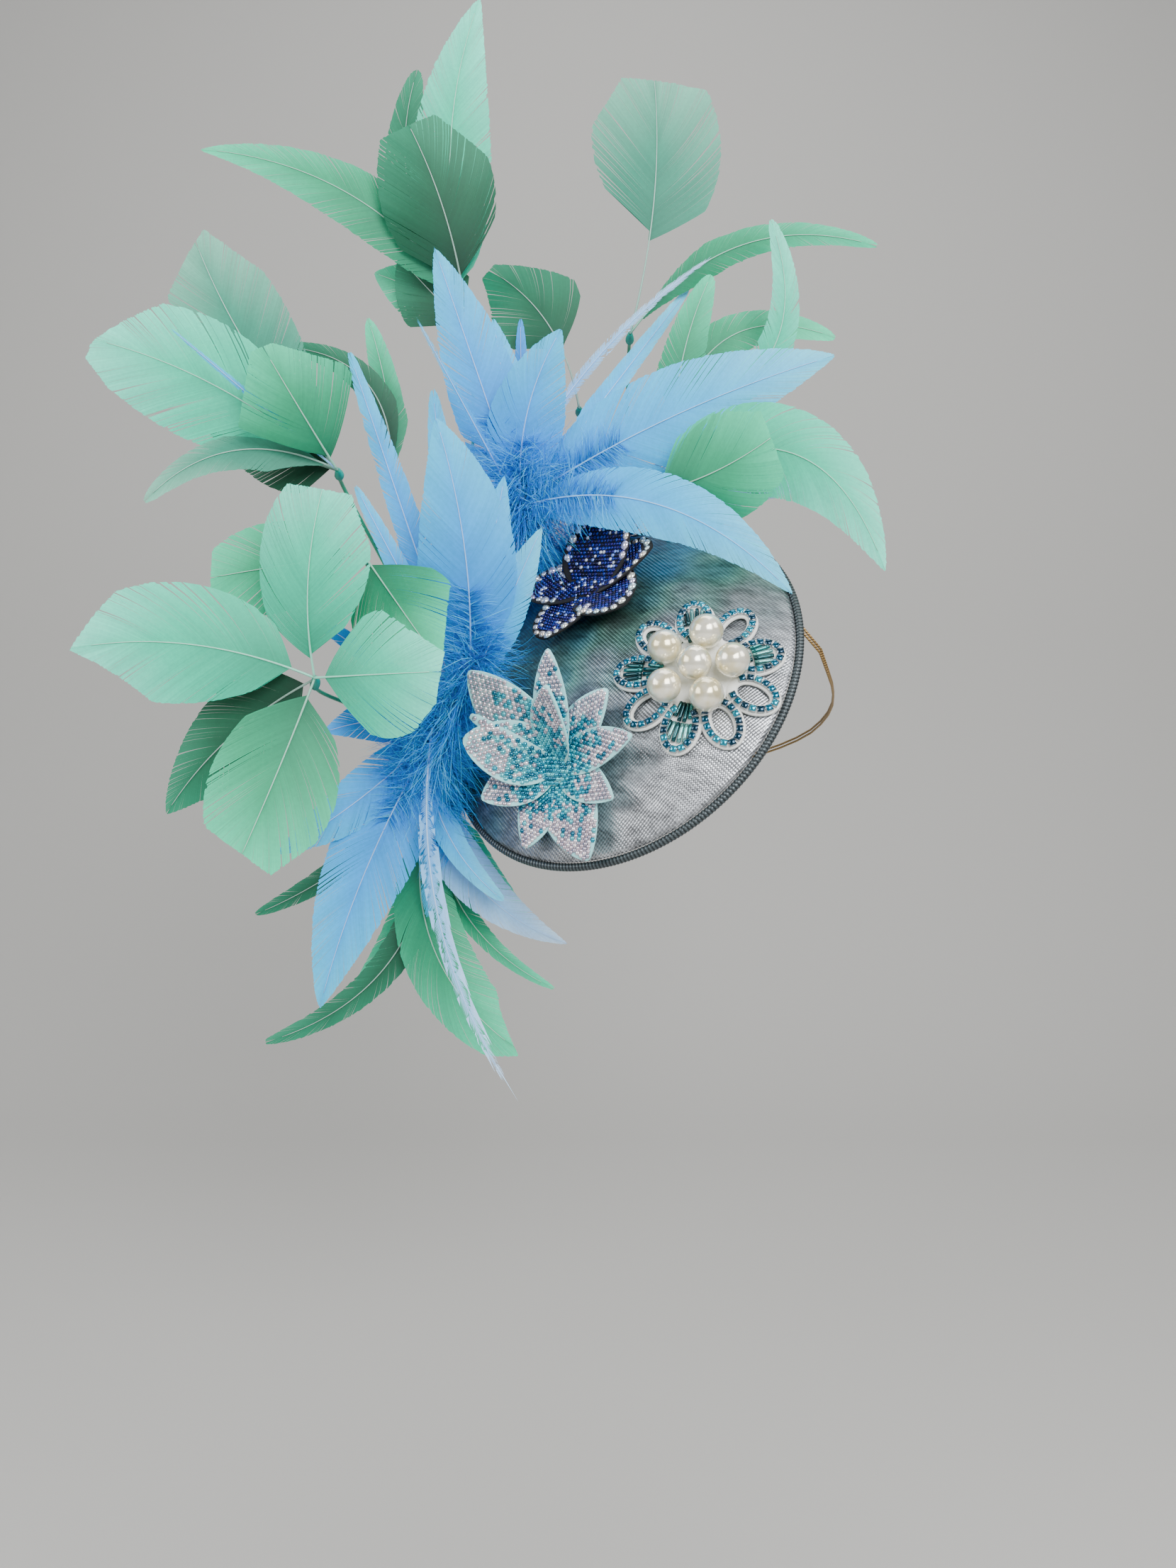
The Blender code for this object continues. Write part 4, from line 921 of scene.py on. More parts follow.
def stem_path(spray, hub):
    """From the edge or the cloth outwards, then into the hub from behind."""
    if spray.reach < 1.0:
        slope = math.asin(spray.reach * BASE_RADIUS / SPHERE_RADIUS)
        turn = math.radians(spray.angle)
        outward = BASE_AXES @ round_rings([math.sin(slope)], [math.cos(slope)], np.array([turn]))[0, 0]
        foot = outward * (SPHERE_RADIUS + BASE_WALL + FIT_GAP) - AXIS_OUT * SPHERE_RADIUS
    else:
        foot = on_edge(spray.angle, EDGE_RADIUS + FIT_GAP, 0.0)
        outward = unit(foot - on_edge(spray.angle, 0.0, 0.0))
    run = np.linalg.norm(hub - foot)
    bend = foot + outward * STEM_OUT * run
    behind = hub + np.array([0.0, STEM_BEHIND, -STEM_BELOW]) * run
    return smooth_path([foot, bend, behind, hub], STEM_POINTS)


def bound_stem(spray, hub):
    """The stem, and a spindle of thread turns over its last stretch."""
    path = stem_path(spray, hub)
    reach = run_length(path)
    marks = np.linspace(max(reach[-1] - BINDING_LENGTH, 0.0), reach[-1], THREAD_TURNS * 4)
    share = np.linspace(0.0, 1.0, len(marks))
    ridges = 1.0 + 0.07 * np.cos(2.0 * np.pi * THREAD_TURNS * share)
    girth = BINDING_RADIUS * (0.55 + 0.45 * np.sin(np.pi * share**0.8)) * ridges
    shapes = [
        tube(path, STEM_RADIUS * 0.9, STEM_SIDES, STEM_HINT),
        tube(at_share(reach, path, marks), girth, THREAD_SIDES, STEM_HINT),
    ]
    dyes = colours([STEM_DYE, THREAD_DYE])
    return shapes, [np.tile(dye, (len(verts), 1)) for dye, (verts, _) in zip(dyes, shapes)]


def hairs(roots, ways, lengths, codes, sag=0.35):
    """Thin strips that start at the roots, curl to a random side and sag; each is two rows of points."""
    count = len(roots)
    share = np.linspace(0.0, 1.0, HAIR_STEPS + 1)[None, :, None]
    curl = unit(np.cross(ways, DRAWS.normal(0.0, 1.0, (count, 3))))
    bend = DRAWS.uniform(*HAIR_CURLS, count)[:, None, None] * share**2
    wave = HAIR_WAVE_DEPTH * np.sin(share * DRAWS.uniform(*HAIR_WAVES, count)[:, None, None])
    shift = ways[:, None] * share + curl[:, None] * (bend + wave) - UPWARDS * sag * share**2 * 0.5
    line = roots[:, None] + shift * lengths[:, None, None]
    across = unit(np.cross(ways, curl))[:, None] * HAIR_WIDTH / 2.0 * (1.0 - 0.85 * share)
    points = np.stack([line - across, line + across], axis=1)
    table = colours(codes)
    base = table[DRAWS.integers(0, len(table), count)][:, None, None]
    tint = np.broadcast_to(base, points.shape) * (0.75 + 0.35 * share[:, None])
    faces = strip_quads(count, HAIR_STEPS + 1)
    return points.reshape(-1, 3), [faces], np.clip(tint.reshape(-1, 3), 0.0, 1.0)


def marabou(spray, hub):
    """Down round a plume's head and along its crown, standing out from both."""
    off = (EDGE_RADIUS + FIT_GAP) * math.sqrt(0.5)
    foot = on_edge(spray.angle, off, off)
    low, high = hub + np.array(CROWNS[spray.name]) * OUTER_RADIUS
    sets = []
    for start, end, count in ((foot, hub, HEAD_HAIRS), (low, high, CROWN_HAIRS)):
        share = DRAWS.random(count)[:, None]
        around = unit(DRAWS.normal(0.0, 1.0, (count, 3)) + np.array([0.0, -0.4, 0.0]))
        thick = BLUE_HEAD_RADIUS * (0.25 + 0.6 * np.sin(np.pi * np.clip(share, 0.05, 0.95)))
        roots = start + (end - start) * share + around * thick
        sets.append(hairs(roots, around, DRAWS.uniform(*HEAD_LENGTHS, count) * MM, DOWN_BLUES))
    first, last = EDGE_DOWN[spray.name]
    count = int((last - first) * EDGE_HAIRS)
    roots = np.array([on_edge(angle, off, off) for angle in DRAWS.uniform(first, last, count)])
    outward = unit(roots - AXIS_OUT * EDGE_RING_HEIGHT)
    around = unit(DRAWS.normal(0.0, 0.6, (count, 3)) + outward + AXIS_OUT * 0.5)
    sets.append(hairs(roots, around, DRAWS.uniform(*EDGE_LENGTHS, count) * MM, DOWN_BLUES, sag=0.1))
    around = unit(DRAWS.normal(0.0, 1.0, (STRAY_HAIRS, 3)) + AXIS_OUT)
    strays = np.tile(hub, (STRAY_HAIRS, 1))
    lengths = DRAWS.uniform(*STRAY_LENGTHS, STRAY_HAIRS) * MM
    sets.append(hairs(strays, around, lengths, DOWN_BLUES[2:3]))
    return sets


def quill_down(frames):
    """Loose barbs on the lowest third of a quill: they stand off to both sides and forwards."""
    along, spine, side, front, length, _ = frames
    count = int(length * DOWN_SHARE / MM * DOWN_PER_MM)
    share = DRAWS.uniform(0.02, DOWN_SHARE, count)
    ahead = at_share(along, unit(np.gradient(spine, axis=0)), share)
    beside = at_share(along, side, share) * DRAWS.choice([-1.0, 1.0], count)[:, None]
    forward = at_share(along, front, share) * DRAWS.uniform(0.0, 0.9, count)[:, None]
    ways = unit(beside + 0.6 * ahead + forward)
    lengths = DRAWS.uniform(*QUILL_LENGTHS, count) * MM * (1.15 - share / DOWN_SHARE * 0.7)
    return hairs(at_share(along, spine, share), ways, lengths, DOWN_BLUES, sag=0.15)


def add_tinted(name, parts, material, replaces, smooth=True):
    """One piece of several (verts, faces, tint) parts."""
    shape = merged([part[:2] for part in parts])
    tint = np.concatenate([part[2] for part in parts])
    return add_piece(name, shape, material, replaces, tint=tint, smooth=smooth)


def make_spray(spray):
    """One piece of vanes, one of quills and stem, and for a plume one of down."""
    hub = np.array(spray.hub) * OUTER_RADIUS
    vanes, quills, down = [], [], []
    for row in FEATHERS[spray.name]:
        frames = feather_spine(row, hub, spray.colour)
        vanes += [vane_side(row, sign, frames) for sign in (1.0, -1.0)]
        shape, tint = quill(frames, row)
        quills.append((*shape, tint))
        if spray.colour == "blue" and row.kind == "lance":
            down.append(quill_down(frames))
    vane = GREEN_VANE if spray.colour == "green" else BLUE_VANE
    add_tinted(spray.name + "_vanes", vanes, vane, [spray.name])
    if spray.colour == "green":
        quills += [(*shape, tint) for shape, tint in zip(*bound_stem(spray, hub))]
    else:
        down += marabou(spray, hub)
        add_tinted(spray.name + "_down", down, BLUE_VANE, ())
    add_tinted(spray.name + "_quills", quills, QUILL, ())


for spray in SPRAYS:
    make_spray(spray)

# %% [markdown]
# Three sewn flowers lie on the saucer. Each is drawn flat in its own frame and then bent over the
# saucer's sphere, so it hugs the cloth wherever it is moved to. Petals are felt or foam cut to shape
# and covered with glued stones; a stone is only a few rings of seven points, because there are
# well over a thousand of them.

# %% Flower frames and petals
PETAL_THICKNESS = 1.5 * MM
PETAL_NECK = 0.22
PETAL_TIP = 0.07
PETAL_END = 0.985
LEAF_SKEW = 0.85
FACE_ROUNDNESS = 0.7
BOSS_STEPS = 32
PETAL_ROWS = 18
PETAL_COLUMNS = 11
NAVY_SPAN = 31.0 * MM
NAVY_BOSS_RADIUS = 8.0 * MM
NAVY_BOSS_HEIGHT = 5.0 * MM
LOTUS_SPAN = 40.0 * MM
LOTUS_BOSS_RADIUS = 9.0 * MM
LOTUS_BOSS_HEIGHT = 6.0 * MM
BOSS_SHARES = (1.0, 1.0, 0.85, 0.5)
BOSS_LEVELS = (0.0, 0.6, 0.9, 1.0)
NAVY_PLACE = (-0.15, 0.44)
LOTUS_PLACE = (0.02, -0.57)
LACE_PLACE = (0.62, -0.05)

# Petal rows: length and width as shares of the span, heading clockwise from the saucer's upper side,
# rise off the cloth, cup of the sides, curl of the tip, and the power that blunts the outline
Petal = namedtuple("Petal", "length width heading rise cup curl blunt")
NAVY_PETALS = (
    Petal(0.90, 1.15, 8, 32, 0.22, 0.10, 0.42),
    Petal(0.97, 0.78, 62, 16, 0.18, 0.04, 0.42),
    Petal(1.02, 0.90, 120, 10, 0.15, 0.02, 0.42),
    Petal(1.02, 0.90, 196, 8, 0.15, 0.02, 0.42),
    Petal(1.06, 0.80, 272, 12, 0.18, 0.04, 0.42),
)
LOTUS_PETALS = (
    Petal(0.92, 0.54, 315, 40, 0.08, 0.00, 0.70),
    Petal(0.98, 0.40, 355, 24, 0.10, 0.02, 0.70),
    Petal(0.86, 0.46, 36, 14, 0.10, 0.00, 0.70),
    Petal(0.92, 0.40, 74, 18, 0.10, 0.02, 0.70),
    Petal(0.80, 0.40, 112, 14, 0.08, 0.00, 0.70),
    Petal(1.02, 0.62, 150, 8, 0.06, 0.00, 0.70),
    Petal(0.86, 0.50, 196, 8, 0.06, 0.00, 0.70),
    Petal(0.74, 0.50, 238, 24, 0.10, 0.02, 0.70),
    Petal(0.62, 0.56, 278, 46, 0.20, 0.06, 0.60),
    Petal(0.56, 0.46, 20, 50, 0.16, 0.05, 0.70),
    Petal(0.66, 0.12, 296, 50, 0.00, -0.18, 0.30),
)


def drape(points):
    """Bend flat work over the sphere: its height becomes height above the sphere."""
    ball = SPHERE_RADIUS + BASE_WALL + FIT_GAP
    flat = points.copy()
    flat[..., 2] = ball
    return unit(flat) * (ball + points[..., 2:3]) - UPWARDS * ball


def on_flower(points, place):
    """From a flower's own frame to the object's, through the sphere and the saucer's axes."""
    x, y = place[0] * BASE_RADIUS, place[1] * BASE_RADIUS
    out = unit(np.array([x, y, math.sqrt(SPHERE_RADIUS**2 - x**2 - y**2)]))
    right = unit(np.cross([0.0, 1.0, 0.0], out))
    axes = BASE_AXES @ np.stack([right, np.cross(out, right), out], axis=1)
    centre = BASE_AXES @ (out * (SPHERE_RADIUS + BASE_WALL + FIT_GAP) - UPWARDS * SPHERE_RADIUS)
    return centre + drape(points) @ axes.T


def petal_half(row, span, along):
    """Half the petal's width: a leaf outline with a neck at its foot and a small flat at its tip."""
    leaf = np.sin(np.pi * np.clip(along, 0.0, 1.0) ** LEAF_SKEW) ** row.blunt
    return np.maximum(leaf, np.where(along < 0.5, PETAL_NECK, PETAL_TIP)) * row.width * span / 2.0


def petal_point(row, span, along, across, height):
    """A point of a petal: out along its spine, across it, and height off its face."""
    heading, rise = math.radians(row.heading), math.tan(math.radians(row.rise))
    ahead = np.array([math.sin(heading), math.cos(heading), 0.0])
    side = np.cross(ahead, UPWARDS)
    climb = along * rise + row.curl * along**3
    steep = rise + 3.0 * row.curl * along**2
    front = unit(UPWARDS - steep[..., None] * ahead)
    spine = along[..., None] * ahead + climb[..., None] * UPWARDS
    spine = spine * span * row.length + UPWARDS * PETAL_THICKNESS
    half = petal_half(row, span, along)
    lift = row.cup * half * across**2 + height
    return spine + side * (across * half)[..., None] + front * lift[..., None]


def petal_face(across):
    """Height of the petal's rounded face over its middle, which is thinner at the sides."""
    return PETAL_THICKNESS / 2.0 * np.sqrt(1.0 - FACE_ROUNDNESS * across**2)


def petal_shape(row, span, place):
    """Rings round the petal from its foot to its tip: its front, then back along its underside."""
    along = np.linspace(0.0, PETAL_END, PETAL_ROWS)[:, None]
    across = np.cos(np.linspace(math.pi, 0.0, PETAL_COLUMNS))
    back = across[::-1][1:-1]
    ring = np.concatenate([across, back])[None] + 0.0 * along
    face = np.concatenate([petal_face(across), -petal_face(back)])
    rings = petal_point(row, span, along + 0.0 * ring, ring, face)
    ends = petal_point(row, span, np.array([0.0, 1.0]), np.zeros(2), np.zeros(2))
    return closed_rings(on_flower(rings, place), *on_flower(ends, place))


def boss_shape(radius, height, place):
    """A low round cushion: rings that narrow towards its top."""
    radii, levels = np.array(BOSS_SHARES) * radius, np.array(BOSS_LEVELS) * height
    rings = round_rings(radii, levels, full_turn(BOSS_STEPS))
    ends = np.array([[0.0, 0.0, 0.0], [0.0, 0.0, height]])
    return closed_rings(on_flower(rings, place), *on_flower(ends, place))


# %% Stones
STONE_SIDES = 7
ROW_PITCH = 0.87
SMALL_STEP = 0.004
MOST_ACROSS = 30
FIRST_STONE = 0.04


def stone_template(sides, table=0.62, crown=0.34, girdle=0.12):
    """A cut stone of diameter 1: a straight girdle, a sloping crown and a flat table."""
    turn = full_turn(sides) + math.pi / sides
    rings = round_rings([0.5, 0.5, table / 2.0], [0.0, girdle, crown], turn)
    return closed_rings(rings, np.zeros(3), np.array([0.0, 0.0, crown]))


def petal_frames(row, span, place, a, across):
    """Places on a petal's front and their axes: across the petal, along it and off it."""
    height = petal_face(across)
    here = on_flower(petal_point(row, span, a, across, height), place)
    ahead = on_flower(petal_point(row, span, a + SMALL_STEP, across, height), place) - here
    beside = on_flower(petal_point(row, span, a, across + SMALL_STEP, height), place) - here
    out = unit(np.cross(beside, ahead))
    ahead = unit(ahead)
    return here, np.stack([np.cross(ahead, out), ahead, out], axis=1)


def stones_on_petal(row, span, pitch, margin, first, last):
    """Stone places in staggered rows over a petal's front, as shares along and across it."""
    size = span * row.length
    rows = np.arange(first * size, last * size, pitch * ROW_PITCH * math.cos(math.radians(row.rise)))
    cols = np.arange(-MOST_ACROSS, MOST_ACROSS + 1)
    a = np.repeat(rows / size, len(cols))
    x = ((cols[None] + 0.5 * (np.arange(len(rows)) % 2)[:, None]) * pitch).ravel()
    half = petal_half(row, span, a)
    keep = np.abs(x) < half - margin
    return a[keep], x[keep] / half[keep]


def stones_on_boss(radius, height, place, pitch):
    """Stone places in staggered rows over a cushion, each turned the way the cushion faces there."""
    rows = np.arange(-MOST_ACROSS, MOST_ACROSS + 1)
    x = (rows[None] + 0.5 * (rows[:, None] % 2)) * pitch
    y = rows[:, None] * pitch * ROW_PITCH + 0.0 * x
    keep = np.hypot(x, y) < radius * 0.98
    flat = np.stack([x[keep], y[keep]], axis=1)

    def on_cushion(move):
        spot = flat + np.array(move)
        share = np.linalg.norm(spot, axis=1) / radius
        level = height * np.interp(share, (0.3, 0.85, 1.0), (1.0, 0.9, 0.6))
        return on_flower(np.concatenate([spot, level[:, None]], axis=1), place)

    step = 0.05 * MM
    here = on_cushion((0.0, 0.0))
    beside = unit(on_cushion((step, 0.0)) - here)
    out = unit(np.cross(beside, on_cushion((0.0, step)) - here))
    return here, np.stack([beside, np.cross(out, beside), out], axis=1)


def set_stones(template, places, axes, sizes, codes, picks):
    """Stamped stones in the picked hex colours, as (verts, faces, tint)."""
    shape = stamped(template, places, axes, sizes)
    return (*shape, np.repeat(colours(codes)[picks], len(template[0]), axis=0))


def cut_glass():
    """Foil-backed cut glass: very smooth, a mirror under the colour, flat facets and painted sparkle."""
    more = {"IOR": 1.58, "Coat_Weight": 0.4, "Coat_Roughness": 0.04}
    material = new_material("foil_backed_cut_glass", "#dfe6ea", 0.11, 0.7, **more)
    place = add_node(material, "TexCoord", "Object")
    # Painted sparkle: small cells of the colour made lighter or darker, like light flashing in facets
    painted_sparkle = add_node(material, "TexVoronoi", "Distance", in_Vector=place, in_Scale=1200.0)
    spread = add_node(material, "MapRange", in_Value=painted_sparkle, in_3=0.7, in_4=1.2)
    link_to_shader(material, Base_Color=tinted(material, spread))
    return material


def pressed_felt(name, code, fuzz):
    """Pressed felt or craft foam: quite rough, with a fine fibre grain."""
    material = new_material(name, code, 0.85, 0.0, Sheen_Weight=fuzz)
    link_bump(material, grain_in(material, 1500.0, 4.0), 0.5, 0.15 * MM)
    return material


GLASS = cut_glass()
STONE = stone_template(STONE_SIDES)

# %% [markdown]
# The dark flower is black felt. Small royal, violet and light-blue stones fill each petal and big
# clear ones with a rainbow coating ring its rim.

# %% Navy flower
NAVY_STONE = 1.75 * MM
NAVY_MARGIN = 2.6 * MM
RIM_STONE = 3.6 * MM
RIM_START = 0.4
RIM_SIZES = (0.7, 1.2)
INNER_SIZES = (0.85, 1.08)
BRIGHT_SHARE = 0.22
NAVY_BLUES = ("#02033c", "#060f74", "#160668", "#0a3096", "#86a8ff", "#f0f4ff")
CLEAR_RAINBOW = ("#eef4f6", "#f7ecdf", "#dcf3f7", "#e9e2fb", "#fdfdf4")


def rim_stones(row, span, diameter, first):
    """Big stones side by side along a petal's outline, from one flank over the tip to the other."""
    size = span * row.length
    last = 1.0 - 0.55 * diameter / size
    a = first + (last - first) * np.sin(np.linspace(0.0, math.pi / 2.0, 60))
    x = np.maximum(petal_half(row, span, a) - 0.6 * diameter, 0.0)
    line = np.stack([np.concatenate([a, a[::-1]]), np.concatenate([-x, x[::-1]])], axis=1)
    reach = run_length(line * [size / math.cos(math.radians(row.rise)), 1.0])
    marks = np.linspace(0.0, reach[-1], max(int(reach[-1] / diameter), 2))
    a, x = at_share(reach, line, marks).T
    return a, x / petal_half(row, span, a)


def make_navy_flower():
    """Felt petals round a cushion, with small dark stones inside and big clear ones on the rims."""
    boss = (NAVY_BOSS_RADIUS, NAVY_BOSS_HEIGHT, NAVY_PLACE)
    felt = [petal_shape(row, NAVY_SPAN, NAVY_PLACE) for row in NAVY_PETALS] + [boss_shape(*boss)]
    black = pressed_felt("pressed_black_felt", "#06070b", 0.04)
    add_piece("navy_flower_felt", merged(felt), black, ["navy_flower"])
    stones, small = [], [stones_on_boss(*boss, NAVY_STONE)]
    for row in NAVY_PETALS:
        last = 1.0 - 1.2 * RIM_STONE / (NAVY_SPAN * row.length)
        inner = stones_on_petal(row, NAVY_SPAN, NAVY_STONE, NAVY_MARGIN, FIRST_STONE, last)
        small.append(petal_frames(row, NAVY_SPAN, NAVY_PLACE, *inner))
        rim = rim_stones(row, NAVY_SPAN, RIM_STONE, RIM_START)
        here, axes = petal_frames(row, NAVY_SPAN, NAVY_PLACE, *rim)
        sizes = DRAWS.uniform(*RIM_SIZES, len(here)) * RIM_STONE
        picks = DRAWS.integers(0, 5, len(here))
        stones.append(set_stones(STONE, here, axes, sizes, CLEAR_RAINBOW, picks))
    for here, axes in small:
        count = len(here)
        sizes = DRAWS.uniform(*INNER_SIZES, count) * NAVY_STONE
        bright = DRAWS.random(count) < BRIGHT_SHARE
        picks = np.where(bright, DRAWS.integers(3, 6, count), DRAWS.integers(0, 4, count))
        stones.append(set_stones(STONE, here, axes, sizes, NAVY_BLUES, picks))
    add_tinted("navy_flower_stones", stones, GLASS, (), smooth=False)


make_navy_flower()

# %% [markdown]
# The pale flower is pointed petals of aqua craft foam. Its stones are all one size and lie as close
# as they can: aqua near the middle and clear with a pink coating towards the tips.

# %% Lotus flower
LOTUS_STONE = 1.75 * MM
LOTUS_MARGIN = 0.95 * MM
LOTUS_FILL = 1.14
LAST_STONE = 0.97
PALE_FROM = 0.52
PALE_SPREAD = 0.18
LOTUS_COLOURS = ("#0b6f8c", "#1f9fb8", "#5cc6d2", "#cfc0cb", "#b5aebd", "#efe6ec")


def make_lotus_flower():
    """Foam petals round a cushion, all of them covered with stones of one size."""
    boss = (LOTUS_BOSS_RADIUS, LOTUS_BOSS_HEIGHT, LOTUS_PLACE)
    foam = [petal_shape(row, LOTUS_SPAN, LOTUS_PLACE) for row in LOTUS_PETALS] + [boss_shape(*boss)]
    pale_foam = pressed_felt("cut_aqua_craft_foam", "#9fe0e3", 0.1)
    add_piece("lotus_flower_foam", merged(foam), pale_foam, ["lotus_flower"])
    here, axes = stones_on_boss(*boss, LOTUS_STONE)
    stones = [(here, axes, DRAWS.integers(0, 3, len(here)))]
    for row in LOTUS_PETALS:
        along, across = stones_on_petal(row, LOTUS_SPAN, LOTUS_STONE, LOTUS_MARGIN, FIRST_STONE, LAST_STONE)
        here, axes = petal_frames(row, LOTUS_SPAN, LOTUS_PLACE, along, across)
        pale = along + PALE_SPREAD * DRAWS.normal(0.0, 1.0, len(along)) > PALE_FROM
        picks = np.where(pale, DRAWS.integers(3, 6, len(along)), DRAWS.integers(0, 3, len(along)))
        stones.append((here, axes, picks))
    here, axes, picks = [np.concatenate(column) for column in zip(*stones)]
    sizes = np.full(len(here), LOTUS_STONE * LOTUS_FILL)
    parts = [set_stones(STONE, here, axes, sizes, LOTUS_COLOURS, picks)]
    add_tinted("lotus_flower_stones", parts, GLASS, (), smooth=False)


make_lotus_flower()

# %% [markdown]
# The pearl flower is a ground of white felt cut in nine lobes. A chain of square teal stones, each in
# its own small metal cup, is sewn round every lobe; four lobes are filled with glass bugle beads and
# five are left open. Six imitation pearls sit in the middle.

# %% Pearl flower
LACE_SPAN = 34.0 * MM
LACE_THICKNESS = 2.2 * MM
LACE_BOSS_RADIUS = 15.0 * MM
LACE_LOBES = 9
FIRST_LOBE_ANGLE = -11.0
LACE_LOBE_WIDTH = 16.0 * MM
LACE_LOBE_OVERLAP = 0.2
LACE_BORDER_WIDTH = 3.2 * MM
LOBE_REACH = LACE_SPAN - LACE_BOSS_RADIUS * (1.0 - LACE_LOBE_OVERLAP)
LOBE_STEPS = 64
BORDER_SIDES = 10
PAD_STEPS = 40
FELT_INWARDS = 0.7 * MM
CHAIN_PITCH = 2.9 * MM
CUP_SIZE = 2.7 * MM
CUP_WIDTH = 1.40
CHAIN_STONE_WIDTH = 1.22
CHAIN_STONE_LIFT = 0.25 * MM
CHAIN_TEALS = ("#04506c", "#0d7290", "#2a9fb8", "#033a52")
BUGLE_RADIUS = 0.8 * MM
BUGLE_LENGTH = 7.6 * MM
BUGLE_ROWS = ((13.3 * MM, 4, 8.5), (13.7 * MM + BUGLE_LENGTH, 6, 10.5))
BUGLE_TEALS = ("#0f5257", "#2a8284", "#073f47", "#72b3b0")
PEARL_RADIUS = 6.5 * MM
PEARLS_ROUND = 5
FIRST_PEARL_ANGLE = 88.0
PEARL_RINGS = 24
PEARL_STEPS = 32
HOLE_DEPTH = 0.05
HOLE_WIDTH = 0.16


def on_lace(flat, level):
    """Flat points of the pearl flower at a height over the cloth, in the object's frame."""
    level = np.broadcast_to(level, flat.shape[:-1])[..., None]
    return on_flower(np.concatenate([flat, level], axis=-1), LACE_PLACE)


def lobe_loop(turn, sweep, inset):
    """A point on a lobe's oval, moved inwards by inset, in the flower's flat frame."""
    long_half = LOBE_REACH / 2.0 - LACE_BORDER_WIDTH / 2.0 - inset
    wide_half = LACE_LOBE_WIDTH / 2.0 - LACE_BORDER_WIDTH / 2.0 - inset
    x = LACE_SPAN - LOBE_REACH / 2.0 + np.cos(sweep) * long_half
    y = np.sin(sweep) * wide_half
    across, along = math.sin(turn), math.cos(turn)
    return np.stack([x * along - y * across, x * across + y * along], axis=-1)


def lobe_border(turn):
    """A felt strip round the oval: a ring of flat rounded sections."""
    sweep, round_it = np.meshgrid(full_turn(LOBE_STEPS), full_turn(BORDER_SIDES), indexing="ij")
    inset = FELT_INWARDS - (LACE_BORDER_WIDTH / 2.0 + FELT_INWARDS) * np.cos(round_it)
    level = LACE_THICKNESS / 2.0 * (1.0 + 0.9 * np.sin(round_it))
    points = on_lace(lobe_loop(turn, sweep, inset), level)
    return turned_out(points.reshape(-1, 3), [grid_quads(LOBE_STEPS, BORDER_SIDES, True, True)])


def lobe_pad(turn):
    """The felt inside a filled lobe: an oval cushion a little lower than the border."""
    sweep = full_turn(PAD_STEPS)
    levels = np.array([0.15, 0.6, 0.7]) * LACE_THICKNESS
    rings = np.stack([lobe_loop(turn, sweep, inset) for inset in (0.0, 0.0, 2.0 * MM)])
    centre = lobe_loop(turn, np.array([math.pi / 2.0, -math.pi / 2.0]), 0.0).mean(0)
    ends = on_lace(np.stack([centre, centre]), levels[[0, 2]])
    return closed_rings(on_lace(rings, levels[:, None]), ends[0], ends[1])


def frames_along(points):
    """Axes for things set along a closed loop of world points: along it, across it and off the saucer."""
    ahead = unit(np.roll(points, -1, axis=0) - np.roll(points, 1, axis=0))
    out = unit(points + AXIS_OUT * SPHERE_RADIUS)
    out = unit(out - np.sum(out * ahead, axis=1, keepdims=True) * ahead)
    return np.stack([ahead, np.cross(out, ahead), out], axis=1)


def chain_places(turn):
    """Even places round a lobe's oval for the stone chain."""
    dense = lobe_loop(turn, np.linspace(0.0, 2.0 * np.pi, 400), FELT_INWARDS)
    reach = run_length(dense)
    marks = np.linspace(0.0, reach[-1], int(reach[-1] / CHAIN_PITCH), endpoint=False)
    flat = at_share(reach, dense, marks)
    keep = np.linalg.norm(flat, axis=1) > LACE_BOSS_RADIUS * 1.02
    points = on_lace(flat, LACE_THICKNESS * 0.93)
    return points[keep], frames_along(points)[keep]


def bugle_fan(turn):
    """Glass tubes in two rows, four near the lobe's foot and six beyond them, that spread like a fan."""
    shapes = []
    for start, count, spread in BUGLE_ROWS:
        for offset in np.linspace(-1.0, 1.0, count):
            angle = turn + math.radians(spread) * offset
            end = start + BUGLE_LENGTH * (1.0 - 0.22 * offset**2)
            flat = np.linspace(start, end, 5)[:, None] * np.array([[math.cos(angle), math.sin(angle)]])
            path = on_lace(flat, LACE_THICKNESS * 0.7 + BUGLE_RADIUS * 1.1)
            shapes.append(tube(path, BUGLE_RADIUS, 8, AXIS_OUT))
    return shapes


def plated_cup():
    """Silver-plated brass cup, stamped from sheet: bright metal with a faint brushed grain."""
    material = new_material("plated_silver_cup", "#c9cdd1", 0.25, 1.0)
    link_bump(material, grain_in(material, 2500.0, 2.0), 0.2, 0.05 * MM)
    return material


